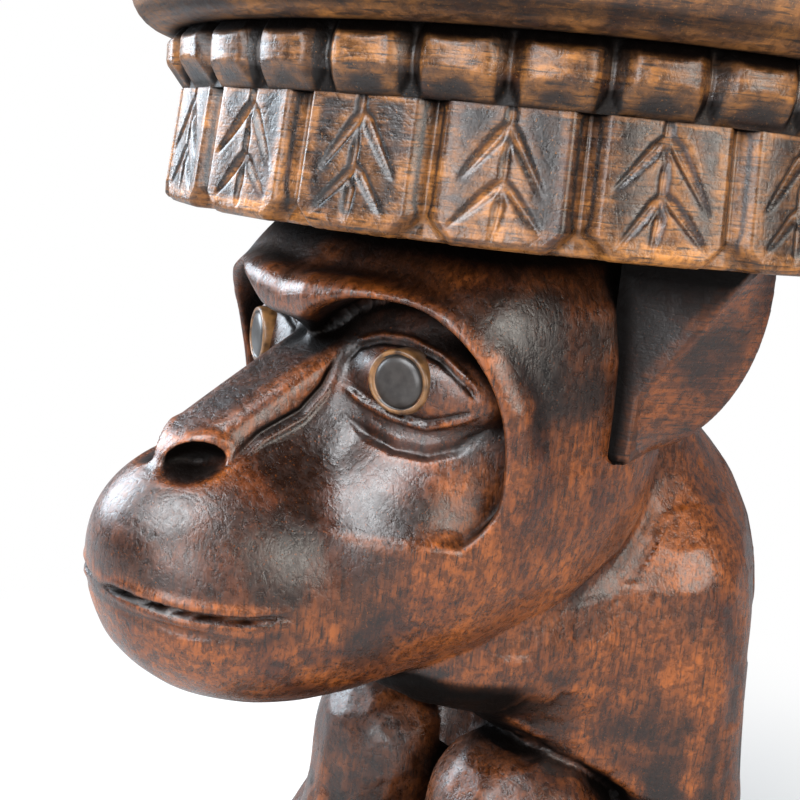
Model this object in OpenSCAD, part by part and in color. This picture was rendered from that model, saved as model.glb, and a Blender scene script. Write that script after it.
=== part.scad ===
// Carved wooden stool: a crouching monkey carries a round crown and seat on its head.
// The figure faces -Y and its left side is +X. The floor is z = 0. Sizes are millimetres.
// Each carved block is the common part of its sawn blank and of rounded masses blended together.

/* [Seat] */
// Radius of the seat slab
seat_r = 165; // [150:1:190]
// Thickness of the seat slab
seat_t = 28; // [22:1:36]
// Height of the figure between base and crown
figure_h = 333; // [325:1:350]

/* [Bead course] */
// Number of bead blocks
bead_count = 32; // [24:1:40]
// Height of the bead course
bead_h = 20.5; // [16:0.5:26]
// Radius at the foot of the grooves between the beads
bead_groove_r = 143.6; // [136:0.2:146]
// How far a bead stands out of its grooves
bead_proud = 8; // [5:0.5:10]
// Turn of the first groove round the course
bead_turn = -4.65; // [-10:0.05:10]

/* [Leaf course] */
// Number of leaf panels
panel_count = 20; // [16:1:24]
// Height of the leaf course
panel_h = 40.5; // [34:0.5:48]
// Radius of the panels at their top
panel_top_r = 144; // [138:0.5:147]
// Radius of the panels at their lower edge
panel_low_r = 148.5; // [144:0.5:152]
// Depth of the V groove between two panels
panel_groove = 6; // [4:0.5:8]
// Size of the cut-off lower corners of a panel
panel_corner = 8; // [5:0.5:11]
// Turn of the first groove round the course
panel_turn = -3.9; // [-10:0.05:10]

/* [Head] */
// Width of the hood over the eyes
hood_w = 168; // [164:1:176]
// Distance from the stool's axis to the brow
brow_f = 116; // [112:1:120]
// Distance from the stool's axis to the muzzle's tip
muzzle_f = 182; // [176:1:188]
// Width of the muzzle
muzzle_w = 110; // [104:1:116]
// Distance of each eye from the middle plane
eye_x = 43; // [41:0.5:46]
// Depth of the eyes below the crown
eye_drop = 52; // [49:0.5:55]
// Diameter of an eye plug
eye_d = 22; // [18:0.5:24]
// Length of an ear from the head
ear_len = 46; // [38:1:52]
// Height of an ear below the crown
ear_h = 76; // [66:1:80]
// Depth of the mouth slit
mouth_cut = 7; // [4:0.5:10]

/* [Body] */
// Width of the trunk across the shoulders
trunk_w = 170; // [162:1:178]
// Depth of the trunk from chest to back
trunk_d = 170; // [162:1:178]
// Distance of each knee from the middle plane
knee_x = 41; // [39:0.5:44]
// Radius of a knee
knee_r = 35; // [32:0.5:37]
// Height of the knees' middle above the base
knee_up = 92; // [86:1:96]
// Length of a foot
foot_len = 96; // [86:1:100]
// Height of a foot
foot_h = 26; // [22:1:30]
// Thickness of a forearm at the elbow
forearm_d = 50; // [44:1:54]

/* [Base] */
// Radius of the base
base_r = 132; // [126:1:150]
// Thickness of the base
base_t = 28; // [22:1:36]

/* [Dowels] */
// Diameter of the large dowels
dowel_d = 16; // [12:0.5:18]
// Diameter of the small dowels
peg_d = 10; // [8:0.5:12]
// Clearance between a dowel and its bore, all round
dowel_fit = 0.1; // [0.05:0.05:0.2]

/* [Hidden] */
crown_z = base_t + figure_h;
bead_z = crown_z + panel_h;
seat_z = bead_z + bead_h;
seat_edge = seat_t / 2;
base_edge = 5;

// Seams between the blanks, as distances forward of the axis, outward or up
face_f = 10;
chest_f = 88;
neck_z = crown_z - 161;
lap_f = -12;
lap_z = base_t + 128;
elbow_z = base_t + 102;
hip_x = 74;
palm_x = 66;
ankle_z = base_t + foot_h;
ear_x = 80;
ear_back = 36;
ear_t = 30;
ear_turn = 24;
leg_gap = 1.2;

// Masses of the head: centre, half sizes and squareness
hood_c = [0, brow_f - 70, crown_z - 55];
hood_s = [hood_w / 2, 70, 98];
side_c = [0, brow_f - 62, crown_z - 99];
side_s = [hood_w / 2 - 10, 50, 58];
jaw_c = [0, 80, crown_z - 123];
jaw_s = [muzzle_w / 2 + 5, 62, 42];
muzzle_c = [0, muzzle_f - 74, crown_z - 127];
muzzle_s = [muzzle_w / 2, 70, 49];
lip_c = [0, muzzle_f - 50, crown_z - 111];
lip_s = [muzzle_w / 2 - 17, 50, 32];
eye_c = [eye_x, 84, crown_z - eye_drop - 1];
eye_s = [31, 15, 20];
cheek_c = [eye_x - 11, 92, crown_z - 103];
cheek_s = [43, 35, 36];
hollow_c = [eye_x, brow_f - 2, crown_z - 59];
hollow_s = [42, 24, 37];
lower_hollow_c = [eye_x + 9, brow_f - 6, crown_z - 93];
lower_hollow_s = [34, 22, 40];
eye_turn = 18;
hollow_turn = 22;
bridge_a = [0, 96, crown_z - 45];
bridge_b = [0, muzzle_f - 40, crown_z - 81];
bridge_r = 13;
nostril_c = [13, muzzle_f - 25, crown_z - 86];
nostril_s = [9, 12, 8];
mouth_z = crown_z - 121;
mouth_t = 2.6;
mouth_len = 50;
mouth_r = 45;

// Masses of the body
trunk_f = -45;
shoulder_z = crown_z - 156;
shoulder_h = 95;
nape_c = [0, -12, crown_z - 41];
nape_s = [64, 56, 90];
chest_c = [0, 18, neck_z + 8];
chest_s = [70, 66, 42];
arm_a = [64, -38, shoulder_z + 30];
arm_b = [hip_x, -54, elbow_z];
arm_r = 32;
wrist_c = [hip_x + 9, 22, base_t + 20];
wrist_r = 17;
palm_c = [hip_x + 9, 44, base_t];
palm_s = [20, 32, 19];
hip_c = [37, -66, base_t + 33];
hip_r = 37;
lap_c = [0, 38, base_t + 44];
lap_s = [2 * trunk_w, 92, 86];
lap_tilt = 27;
waist_f = -84;
knee_c = [knee_x, 12, base_t + knee_up];
shin_c = [knee_x, 42, base_t + 20];
shin_r = 24;
heel_f = 6;
foot_w = 48;

// Places of the dowels: across, forward
post_dowels = [[-34, 66], [34, 66], [-34, -26], [34, -26]];
post_dowel_len = 60;
ring_dowels = 6;
ring_dowel_r = 112;
ring_dowel_let = 16;
ring_dowel_turn = 15;
base_dowels = [[-hip_c[0], hip_c[1]], [hip_c[0], hip_c[1]]];
base_dowel_len = 46;
base_dowel_low = base_t - 18;
face_dowels = [[-30, crown_z - 30], [30, crown_z - 30], [0, neck_z + 26]];
face_dowel_len = 56;
leg_dowel_z = base_t + 62;
leg_dowel_len = 44;
shin_dowel_len = 30;
toe_dowel_f = 80;
toe_dowel_len = 24;
arm_peg_f = -40;
arm_peg_z = base_t + 74;
arm_peg_len = 30;
ear_peg_f = 20;
ear_peg_z = crown_z - 38;
ear_peg_len = 30;

$fn = 96;

// Blend of two masses, with a fillet of size k between them
function blend(a, b, k) =
    let (h = min(max(0.5 + 0.5 * (b - a) / k, 0), 1))
    b * (1 - h) + a * h - k * h * (1 - h);

// First mass with the second carved out of it, with a rounded edge of size k
function carve(a, b, k) = -blend(-a, b, k);

// Rounded mass: a ball stretched to half sizes s and squared off by the power e
function mass(p, c, s, e = 2) =
    let (
        u = abs(p[0] - c[0]) / s[0],
        v = abs(p[1] - c[1]) / s[1],
        w = abs(p[2] - c[2]) / s[2],
        k = pow(pow(u, e) + pow(v, e) + pow(w, e), 1 / e),
        slope = norm([u / s[0], v / s[1], w / s[2]]) + 0.0001
    )
    (k - 1) * min(k / slope, max(s));

// Limb with round ends of radius ra at a and rb at b
function limb(p, a, b, ra, rb) =
    let (
        d = b - a,
        t = min(max((p - a) * d / (d * d), 0), 1)
    )
    norm(p - a - t * d) - (ra + (rb - ra) * t);

// Point p turned about the upright line through c
function turned(p, c, angle) =
    let (q = p - c)
    c + [q[0] * cos(angle) + q[1] * sin(angle), q[1] * cos(angle) - q[0] * sin(angle), q[2]];

// Carved masses below measure x across, y forward and z up, and are alike on both sides
function hood_shape(p) =
    blend(mass(p, hood_c, hood_s, 2.8), mass(p, side_c, side_s, 2.5), 14);

function face_hollow(p) =
    blend(
        mass(turned(p, hollow_c, -hollow_turn), hollow_c, hollow_s, 2.6),
        mass(turned(p, hollow_c, -hollow_turn), lower_hollow_c, lower_hollow_s, 2.3),
        10);

function muzzle_shape(p) =
    blend(mass(p, muzzle_c, muzzle_s, 2.1), mass(p, lip_c, lip_s, 2.1), 14);

function nose_shape(p) =
    limb([p[0] * 0.75, p[1], p[2]], bridge_a, bridge_b, bridge_r, bridge_r);

function head_shape(q) =
    let (
        p = [abs(q[0]), q[1], q[2]],
        skull = blend(hood_shape(p), mass(p, jaw_c, jaw_s, 2.3), 16),
        face = blend(carve(skull, face_hollow(p), 3), muzzle_shape(p), 10),
        cheeks = blend(face, mass(p, cheek_c, cheek_s, 2.2), 8),
        eyes = blend(cheeks, mass(turned(p, eye_c, -eye_turn), eye_c, eye_s), 3),
        nose = blend(eyes, nose_shape(p), 5)
    )
    carve(nose, mass(p, nostril_c, nostril_s), 2);

// Hollow between chest and knees, its roof sloping up towards the chin
function lap_shape(p) =
    let (
        q = p - lap_c,
        along = q[1] * cos(lap_tilt) + q[2] * sin(lap_tilt),
        above = q[2] * cos(lap_tilt) - q[1] * sin(lap_tilt)
    )
    mass([q[0], along, above], [0, 0, 0], lap_s, 5);

function torso_shape(q) =
    let (
        p = [abs(q[0]), q[1], q[2]],
        squat = p[2] < shoulder_z ? shoulder_z + (p[2] - shoulder_z) / 2 : p[2],
        back = mass([p[0], p[1], squat], [0, trunk_f, shoulder_z],
            [trunk_w / 2, trunk_d / 2, shoulder_h]),
        neck = blend(back, mass(p, nape_c, nape_s, 2.6), 20),
        chest = blend(neck, mass(p, chest_c, chest_s, 2.4), 18),
        belly = carve(chest, lap_shape(p), 10),
        arms = blend(belly, limb(p, arm_a, arm_b, arm_r, forearm_d / 2), 14)
    )
    blend(arms, limb(p, hip_c, knee_c, hip_r, knee_r), 6);

function forearm_shape(p) =
    blend(
        limb(p, arm_b, wrist_c, forearm_d / 2, wrist_r),
        mass(p, palm_c, palm_s, 2.4),
        8);

function leg_shape(p) =
    blend(
        limb(p, hip_c, knee_c, hip_r, knee_r),
        limb(p, knee_c, shin_c, knee_r - 2, shin_r),
        12);

function foot_shape(p) =
    let (
        middle = [knee_x, heel_f + foot_len / 2, base_t],
        sole = mass(p, middle, [foot_w / 2, foot_len / 2, foot_h], 2.8),
        ankle = limb(p, shin_c, shin_c + [0, 0, foot_h], shin_r, shin_r)
    )
    blend(sole, ankle, 10);

// Distance from o to the outermost surface of a shape along the direction d
function reach(shape, o, d, r, tries = 22) =
    tries == 0 ? max(r, 1) : reach(shape, o, d, r - shape(o + r * d), tries - 1);

// Directions round a ball whose poles lie forward and back
function ball_direction(along, around) =
    [sin(along) * sin(around), cos(along), -sin(along) * cos(around)];

// Closed skin over rows of points, each row a ring, with a point at either end
module skin(first, rings, last) {
    rows = len(rings);
    cols = len(rings[0]);
    points = concat([first], [for (ring = rings) each ring], [last]);
    faces = concat(
        [for (j = [0:cols - 1]) [0, 1 + (j + 1) % cols, 1 + j]],
        [for (i = [0:rows - 2]) for (j = [0:cols - 1])
            let (a = 1 + i * cols + j, b = 1 + i * cols + (j + 1) % cols)
            each [[a, b, b + cols], [a, b + cols, a + cols]]],
        [for (j = [0:cols - 1])
            let (row = 1 + (rows - 1) * cols)
            [rows * cols + 1, row + j, row + (j + 1) % cols]]);
    polyhedron(points, faces);
}

// Skin of a shape seen from the point o inside it, as rings across the line of sight
module round_skin(shape, o, far, steps, cols) {
    rings = [for (along = steps)
        [for (j = [0:cols - 1])
            let (d = ball_direction(along, j * 360 / cols))
            o + reach(shape, o, d, far) * d]];
    front = [0, 1, 0];
    skin(o + reach(shape, o, front, far) * front, rings, o - reach(shape, o, -front, far) * front);
}

// Skin of a shape as level rings round the points that axis gives for each height
module level_skin(shape, axis, heights, far, cols) {
    rings = [for (z = heights)
        [for (j = [0:cols - 1])
            let (o = axis(z), d = [sin(j * 360 / cols), cos(j * 360 / cols), 0])
            o + reach(shape, o, d, far) * d]];
    skin(axis(heights[0]), rings, axis(heights[len(heights) - 1]));
}

// The figure faces -Y, so shapes made with y forward are turned half round
module facing() {
    mirror([0, 1, 0]) children();
}

// Block from one corner to the other
module block(low, high) {
    translate(low) cube(high - low);
}

module upright_dowel(place, low, length, d) {
    translate([place[0], place[1], low]) cylinder(d = d, h = length);
}

module forward_dowel(x, f, z, length, d) {
    translate([x, f, z]) rotate([-90, 0, 0]) cylinder(d = d, h = length);
}

module cross_dowel(x, f, z, length, d) {
    translate([x, f, z]) rotate([0, 90, 0]) cylinder(d = d, h = length);
}

// Dowels: grown by the clearance they are the bores
module post_dowel_set(extra) {
    for (place = post_dowels)
        upright_dowel(place, crown_z - post_dowel_len / 2 - extra, post_dowel_len + 2 * extra,
            dowel_d + 2 * extra);
}

module ring_dowel_set(extra) {
    for (i = [0:ring_dowels - 1]) rotate([0, 0, i * 360 / ring_dowels + ring_dowel_turn])
        upright_dowel([0, ring_dowel_r], bead_z - ring_dowel_let - extra,
            bead_h + 2 * (ring_dowel_let + extra), dowel_d + 2 * extra);
}

module base_dowel_set(extra) {
    for (place = base_dowels)
        upright_dowel(place, base_dowel_low - extra, base_dowel_len + 2 * extra,
            dowel_d + 2 * extra);
}

module face_dowel_set(extra) {
    for (place = face_dowels)
        forward_dowel(place[0], face_f - face_dowel_len / 2 - extra, place[1],
            face_dowel_len + 2 * extra, dowel_d + 2 * extra);
}

module leg_dowel(extra) {
    forward_dowel(knee_x, lap_f - leg_dowel_len / 2 - extra, leg_dowel_z,
        leg_dowel_len + 2 * extra, peg_d + 2 * extra);
}

module shin_dowel(extra) {
    upright_dowel([shin_c[0], shin_c[1]], ankle_z - shin_dowel_len / 2 - extra,
        shin_dowel_len + 2 * extra, peg_d + 2 * extra);
}

module toe_dowel(extra) {
    upright_dowel([knee_x, toe_dowel_f], base_t - toe_dowel_len / 2 - extra,
        toe_dowel_len + 2 * extra, peg_d + 2 * extra);
}

module arm_peg(extra) {
    cross_dowel(hip_x - arm_peg_len / 2 - extra, arm_peg_f, arm_peg_z,
        arm_peg_len + 2 * extra, peg_d + 2 * extra);
}

module ear_peg(extra) {
    cross_dowel(ear_x - ear_peg_len / 2 - extra, ear_peg_f, ear_peg_z,
        ear_peg_len + 2 * extra, peg_d + 2 * extra);
}

module both_sides() {
    children();
    mirror([1, 0, 0]) children();
}

// Eye plug, a short round pin let into the eye along its own line of sight
module eye_place() {
    translate([eye_c[0], eye_c[1], eye_c[2]]) rotate([0, 0, -eye_turn]) rotate([-90, 0, 0])
        children();
}

// Mouth, a level slit round the front of the muzzle
module mouth() {
    difference() {
        block([-hood_w, muzzle_f - mouth_len, mouth_z - mouth_t / 2],
            [hood_w, 2 * muzzle_f, mouth_z + mouth_t / 2]);
        translate([0, muzzle_f - mouth_cut - mouth_r, mouth_z - mouth_t])
            cylinder(r = mouth_r, h = 2 * mouth_t);
    }
}

module seat_slab() {
    color("#5a3a28") difference() {
        translate([0, 0, seat_z]) rotate_extrude() {
            square([seat_r - seat_edge, seat_t]);
            translate([seat_r - seat_edge, seat_edge]) intersection() {
                circle(r = seat_edge);
                translate([0, -seat_edge]) square([seat_edge, seat_t]);
            }
        }
        ring_dowel_set(dowel_fit);
    }
}

module bead_course() {
    brow = 3;
    slope = 6.5;
    foot = 5;
    under = 2;
    color("#6b4028") difference() {
        translate([0, 0, bead_z]) rotate_extrude()
            polygon([[0, 0], [bead_groove_r + under, 0], [bead_groove_r + bead_proud, foot],
                [bead_groove_r + bead_proud, bead_h - slope],
                [bead_groove_r + brow, bead_h], [0, bead_h]]);
        for (i = [0:bead_count - 1]) rotate([0, 0, bead_turn + i * 360 / bead_count - 90])
            translate([bead_groove_r, 0, bead_z - 1]) rotate([0, 0, -45])
                cube([2 * bead_proud, 2 * bead_proud, bead_h + 2]);
        ring_dowel_set(dowel_fit);
    }
}

module leaf_course() {
    lean = atan((panel_low_r - panel_top_r) / panel_h);
    step = 360 / panel_count;
    spare = 2;
    blank_corner = (panel_low_r + spare) / cos(step / 2);
    notch_r = panel_low_r - panel_groove - spare;
    color("#5e3822") difference() {
        translate([0, 0, crown_z]) linear_extrude(panel_h)
            polygon([for (i = [0:panel_count - 1])
                let (a = panel_turn + i * step - 90)
                blank_corner * [cos(a), sin(a)]]);
        for (i = [0:panel_count - 1]) rotate([0, 0, panel_turn + (i + 0.5) * step - 90]) {
            translate([panel_low_r, -panel_low_r / 2, crown_z]) rotate([0, -lean, 0])
                translate([0, 0, -panel_h]) cube([panel_low_r, panel_low_r, 3 * panel_h]);
        }
        for (i = [0:panel_count - 1]) rotate([0, 0, panel_turn + i * step - 90]) {
            translate([panel_low_r - panel_groove, 0, crown_z]) rotate([0, -lean, 0])
                translate([0, 0, -panel_h / 2]) rotate([0, 0, -45])
                    cube([4 * panel_groove, 4 * panel_groove, 2 * panel_h]);
            translate([notch_r, 0, crown_z]) rotate([45, 0, 0])
                translate([0, -panel_corner, -panel_corner])
                    cube([4 * panel_groove, 2 * panel_corner, 2 * panel_corner]);
        }
        facing() post_dowel_set(dowel_fit);
        ring_dowel_set(dowel_fit);
    }
}

module head() {
    steps = [8, 16, 24, 30, 36, 41, 46, 50, 54, 58, 62, 66, 70, 74, 78, 83, 88, 94, 101, 110,
        122, 138, 156];
    middle = [0, 62, crown_z - 92];
    throat = 12;
    with_neck = function (p)
        blend(head_shape(p), max(torso_shape(p), neck_z - throat - p[2], -p[1]), 3);
    color("#6a3f26") facing() difference() {
        intersection() {
            round_skin(with_neck, middle, 175, steps, 92);
            block([-ear_x, face_f, 0], [ear_x, 2 * muzzle_f, crown_z]);
        }
        block([-hood_w, 0, 0], [hood_w, chest_f, neck_z]);
        post_dowel_set(dowel_fit);
        face_dowel_set(dowel_fit);
        mouth();
        both_sides() {
            ear_peg(dowel_fit);
            eye_place() cylinder(d = eye_d, h = hood_w / 2);
        }
    }
}

module eye() {
    eye_place() cylinder(d = eye_d - 2 * dowel_fit, h = eye_s[1]);
}

module eye_left() {
    color("#3a2a22") facing() eye();
}

module eye_right() {
    color("#3a2a22") facing() mirror([1, 0, 0]) eye();
}

module ear() {
    difference() {
        translate([ear_x, ear_back, crown_z]) rotate([0, 0, -ear_turn]) rotate([90, 0, 0])
            linear_extrude(ear_t) intersection() {
                translate([0, -ear_h / 2]) scale([ear_len, ear_h / 2]) circle(r = 1);
                translate([0, -ear_h]) square([ear_len, ear_h]);
            }
        block([0, -hood_w, 0], [ear_x, hood_w, crown_z + 1]);
        ear_peg(dowel_fit);
    }
}

module ear_left() {
    color("#5c3722") facing() ear();
}

module ear_right() {
    color("#5c3722") facing() mirror([1, 0, 0]) ear();
}

module torso() {
    rise = 16;
    rows = 32;
    far = 2 * trunk_d;
    heights = [for (i = [0:rows]) base_t - rise / 2 + i * (figure_h + rise) / rows];
    axis = function (z)
        let (t = min(max((z - elbow_z) / (neck_z - elbow_z), 0), 1))
        [0, waist_f + t * (trunk_f - waist_f), z];
    color("#64402c") facing() difference() {
        intersection() {
            level_skin(function (p) torso_shape(p), axis, heights, far / 2 + 20, 54);
            block([-far, -far, base_t], [far, chest_f, crown_z]);
        }
        block([-far, lap_f, 0], [far, far, lap_z]);
        block([-far, face_f, neck_z], [far, far, crown_z + 1]);
        both_sides() {
            block([hip_x, -far, 0], [far, lap_f + 1, elbow_z]);
            leg_dowel(dowel_fit);
            arm_peg(dowel_fit);
        }
        post_dowel_set(dowel_fit);
        base_dowel_set(dowel_fit);
        face_dowel_set(dowel_fit);
    }
}

module forearm() {
    steps = [8, 16, 26, 38, 52, 66, 80, 94, 108, 122, 136, 150, 162];
    far = 2 * trunk_d;
    middle = (arm_b + wrist_c) / 2 + [0.4, 0.2, 0.1];
    difference() {
        intersection() {
            round_skin(function (p) forearm_shape(p), middle, 130, steps, 26);
            block([palm_x, -far, base_t], [far, far, elbow_z]);
        }
        block([0, -far, ankle_z], [hip_x, far, elbow_z + 1]);
        block([0, -far, 0], [far, lap_f, ankle_z]);
        arm_peg(dowel_fit);
    }
}

module forearm_left() {
    color("#6a432c") facing() forearm();
}

module forearm_right() {
    color("#6a432c") facing() mirror([1, 0, 0]) forearm();
}

module leg() {
    rows = 14;
    low = ankle_z - 6;
    high = knee_c[2] + knee_r - 1;
    middle_f = 22;
    heights = [for (i = [0:rows]) low + i * (high - low) / rows];
    difference() {
        intersection() {
            level_skin(function (p) leg_shape(p), function (z) [knee_x, middle_f, z], heights, 90, 28);
            block([leg_gap, lap_f, ankle_z], [hip_x, 2 * chest_f, lap_z]);
        }
        leg_dowel(dowel_fit);
        shin_dowel(dowel_fit);
    }
}

module leg_left() {
    color("#70452c") facing() leg();
}

module leg_right() {
    color("#70452c") facing() mirror([1, 0, 0]) leg();
}

module foot() {
    rows = 6;
    low = base_t - 6;
    high = ankle_z + 4;
    heights = [for (i = [0:rows]) low + i * (high - low) / rows];
    difference() {
        intersection() {
            level_skin(function (p) foot_shape(p), function (z) [knee_x, heel_f + foot_len / 2, z],
                heights, 90, 36);
            block([leg_gap, lap_f, base_t], [palm_x, 2 * foot_len, ankle_z]);
        }
        shin_dowel(dowel_fit);
        toe_dowel(dowel_fit);
    }
}

module foot_left() {
    color("#5a3826") facing() foot();
}

module foot_right() {
    color("#5a3826") facing() mirror([1, 0, 0]) foot();
}

module base() {
    color("#553524") difference() {
        rotate_extrude() {
            square([base_r - base_edge, base_t]);
            square([base_r, base_t - base_edge]);
            translate([base_r - base_edge, base_t - base_edge]) circle(r = base_edge);
        }
        facing() {
            base_dowel_set(dowel_fit);
            both_sides() toe_dowel(dowel_fit);
        }
    }
}

module ring_dowels() {
    color("#a9814f") ring_dowel_set(0);
}

module post_dowels() {
    color("#a9814f") facing() post_dowel_set(0);
}

module face_dowels() {
    color("#a9814f") facing() face_dowel_set(0);
}

module ear_pegs() {
    color("#a9814f") facing() both_sides() ear_peg(0);
}

module base_dowels() {
    color("#a9814f") facing() base_dowel_set(0);
}

module limb_pegs() {
    color("#a9814f") facing() both_sides() {
        leg_dowel(0);
        shin_dowel(0);
        toe_dowel(0);
        arm_peg(0);
    }
}

seat_slab();
bead_course();
leaf_course();
head();
ear_left();
ear_right();
eye_left();
eye_right();
torso();
forearm_left();
forearm_right();
leg_left();
leg_right();
foot_left();
foot_right();
base();
ring_dowels();
post_dowels();
face_dowels();
ear_pegs();
base_dowels();
limb_pegs();
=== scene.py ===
"""Carved monkey stool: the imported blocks, dressed as one hand-carved, dark-waxed piece of furniture.

The figure faces -Y, its left side is +X and the floor is z = 0. Shapes are worked out in
millimetres with x across, f forward and z up, and turned to metres when a mesh is made.
"""

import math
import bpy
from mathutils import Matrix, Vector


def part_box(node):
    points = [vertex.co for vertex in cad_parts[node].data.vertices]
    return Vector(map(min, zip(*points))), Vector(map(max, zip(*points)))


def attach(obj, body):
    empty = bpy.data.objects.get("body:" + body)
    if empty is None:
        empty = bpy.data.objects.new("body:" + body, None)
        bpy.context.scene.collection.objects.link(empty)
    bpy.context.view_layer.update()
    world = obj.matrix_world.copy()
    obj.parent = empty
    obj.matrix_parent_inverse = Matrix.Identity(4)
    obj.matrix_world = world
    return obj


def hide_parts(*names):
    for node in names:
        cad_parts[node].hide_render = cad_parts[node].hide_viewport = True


bl_info = {
    "name": "Carved monkey stool",
    "version": (1, 0, 0),
    "blender": (4, 5, 0),
    "location": "3D View > Sidebar > Stool",
    "description": "Builds a carved stool carried by a crouching monkey",
    "category": "Add Mesh",
}

from itertools import product

import bmesh
import bpy
import numpy as np
from bpy.props import FloatProperty, FloatVectorProperty, IntProperty, PointerProperty
from mathutils import Matrix, Vector, bvhtree, kdtree

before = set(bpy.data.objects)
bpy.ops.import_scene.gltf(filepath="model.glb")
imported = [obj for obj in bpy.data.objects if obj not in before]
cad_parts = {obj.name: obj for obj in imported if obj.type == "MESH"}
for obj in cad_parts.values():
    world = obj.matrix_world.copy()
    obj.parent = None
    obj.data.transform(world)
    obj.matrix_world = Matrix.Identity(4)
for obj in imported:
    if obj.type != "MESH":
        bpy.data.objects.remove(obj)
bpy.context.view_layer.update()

MM = 0.001
TURN = 2 * math.pi


def height(node, end):
    """Lower (0) or upper (1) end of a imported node, in millimetres"""
    return round(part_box(node)[end][2] / MM, 3)


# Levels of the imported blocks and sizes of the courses, in mm; turns in degrees
BASE = height("base", 1)
CROWN = height("leaf_course", 0)
BEAD = height("bead_course", 0)
SEAT = height("seat_slab", 0)
TOP = height("seat_slab", 1)
SEAT_R = 165.0
BASE_R = 132.0
PANELS = 20
PANEL_TURN = -3.9
PANEL_TOP_R = 144.0
PANEL_LOW_R = 148.5
BEADS = 32
BEAD_TURN = -4.65
BEAD_R = 143.6
BEAD_PROUD = 8.0
# Seams between the blocks of the figure
FACE_F = 10.0
CHEST_F = 88.0
NECK_Z = CROWN - 161
LAP_F = -12.0
LAP_Z = BASE + 128
ELBOW_Z = BASE + 102
ANKLE_Z = BASE + 26
HIP_X = 74.0
PALM_X = 66.0
EAR_X = 80.0
HAUNCH_F = -40.0
HAUNCH_Z = 90.0
FAR = 900.0
# Distance taken where a shape is too far off to matter, and least square of a slope taken for a step
CLEAR = 60
LEAST_SLOPE = 0.2
# Reach in mm of the four looks round for shade
SHADE_REACH = (3.0, 9.0, 24.0, 60.0)
# Edges bent more than this between a flat and its neighbours stay sharp
SHARP = math.radians(50)
# Grain across or along x, y and z: standing in the figure, lying in the crown and base
STANDING = (1, 1, 0)
LYING = (0, 0, 1)


# Carved shapes: distances from a surface, below zero inside the wood


def rise(values, start, end):
    """From 0 at the start value, or before it, to 1 at the end value"""
    return np.clip((values - start) / (end - start), 0, 1)


def blend(a, b, k):
    """Two shapes joined with a fillet of size k"""
    h = np.clip(0.5 + 0.5 * (b - a) / k, 0, 1)
    return b * (1 - h) + a * h - k * h * (1 - h)


def carve(a, b, k):
    """The first shape with the second cut out of it, the edge rounded by k"""
    return -blend(-a, b, k)


def mass(p, centre, size, power=2.0):
    """Rounded mass: a ball stretched to half sizes and squared off by the power"""
    q = np.abs(p - np.array(centre, np.float32)) / np.array(size, np.float32)
    k = np.sqrt((q * q).sum(axis=1)) if power == 2 else (q**power).sum(axis=1) ** (1 / power)
    steep = q / np.array(size, np.float32)
    return (k - 1) * np.minimum(k / (np.sqrt((steep * steep).sum(axis=1)) + 1e-4), max(size))


def limb(p, a, b, ra, rb):
    """Limb with round ends of radius ra at a and rb at b"""
    a, b = np.array(a, np.float32), np.array(b, np.float32)
    t = np.clip((p - a) @ (b - a) / ((b - a) @ (b - a)), 0, 1)
    return np.linalg.norm(p - a - t[:, None] * (b - a), axis=1) - (ra + (rb - ra) * t)


def turned(p, centre, degrees):
    """Points turned about the upright line through the centre"""
    c, s = math.cos(math.radians(degrees)), math.sin(math.radians(degrees))
    centre = np.array(centre, np.float32)
    q = p - centre
    return np.stack([q[:, 0] * c + q[:, 1] * s, q[:, 1] * c - q[:, 0] * s, q[:, 2]], 1) + centre


def side_by_side(p):
    """Points brought to the left side, as both sides of the figure are alike"""
    q = p.astype(np.float32)
    q[:, 0] = np.abs(q[:, 0])
    return q


def plane(p, point, normal):
    """Height above a flat chisel cut"""
    n = np.array(normal, np.float32)
    return (p - np.array(point, np.float32)) @ (n / np.linalg.norm(n))


# The left half of the figure: masses by centre, half sizes and power; limbs by ends and radii
HOOD = ((0, 46, 298), (84, 76, 82), 3.0)
FOREHEAD = ((0, 120.5, 332), (0.12, 0.75, 0.65))
SIDE = ((0, 54, 262), (75, 50, 58), 2.5)
JAW = ((0, 80, 238), (60, 62, 42), 2.3)
MUZZLE = ((0, 108, 234), (55, 74, 49), 2.1)
LIP = ((0, 132, 250), (38, 50, 32), 2.1)
CHEEK = ((33, 78, 254), (39, 41, 38), 2.2)
SNOUT = ((0, 94, 290), (0, 132, 264), 24, 21)
BROW = [(0, 112.5, 334), (14, 113, 335.5), (29, 110, 336), (46, 103, 334), (61, 95, 329), (71, 87, 321),
        (77, 79, 307), (78, 74, 291), (76, 70, 276)]
BROW_R = 8
FACE_MID, FACE_TURN = (43, 114, 303), -22
RECESS = (46, 290, 44.5, 48.5, 2.3, 259)
MASK = ((47, 60, 280), (57, 40, 78), 2.0)
ROOT_HOLLOW = ((0, 126, 302), (32, 23, 25), 3.0)
EYEBALL = ((45, 85, 309), (31, 14.5, 16), 2.0)
EYE_TURN = 18
EYE = (45.2, 99.8, 311)
NOSE = ((0, 94, 316), (0, 146, 277.5), 18)
BRIDGE = ((0, 134, 301), (0, 0.5, 0.866))
BACK = ((0, -45, 205), (85, 85, 95), 2.0)
NAPE = ((0, -12, 320), (64, 56, 90), 2.6)
CHEST = ((0, 18, 208), (70, 66, 42), 2.4)
LAP = ((0, 38, 72), 27, (340, 92, 86), 5.0)
SHOULDER_Z = 205
HIP = (37, -66, 61)
KNEE = (41, 12, 120)
SHIN = (41, 42, 48)
ELBOW = (74, -54, 130)
WRIST = (83, 22, 48)
PALM = ((83, 44, 28), (20, 32, 19), 2.4)


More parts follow.
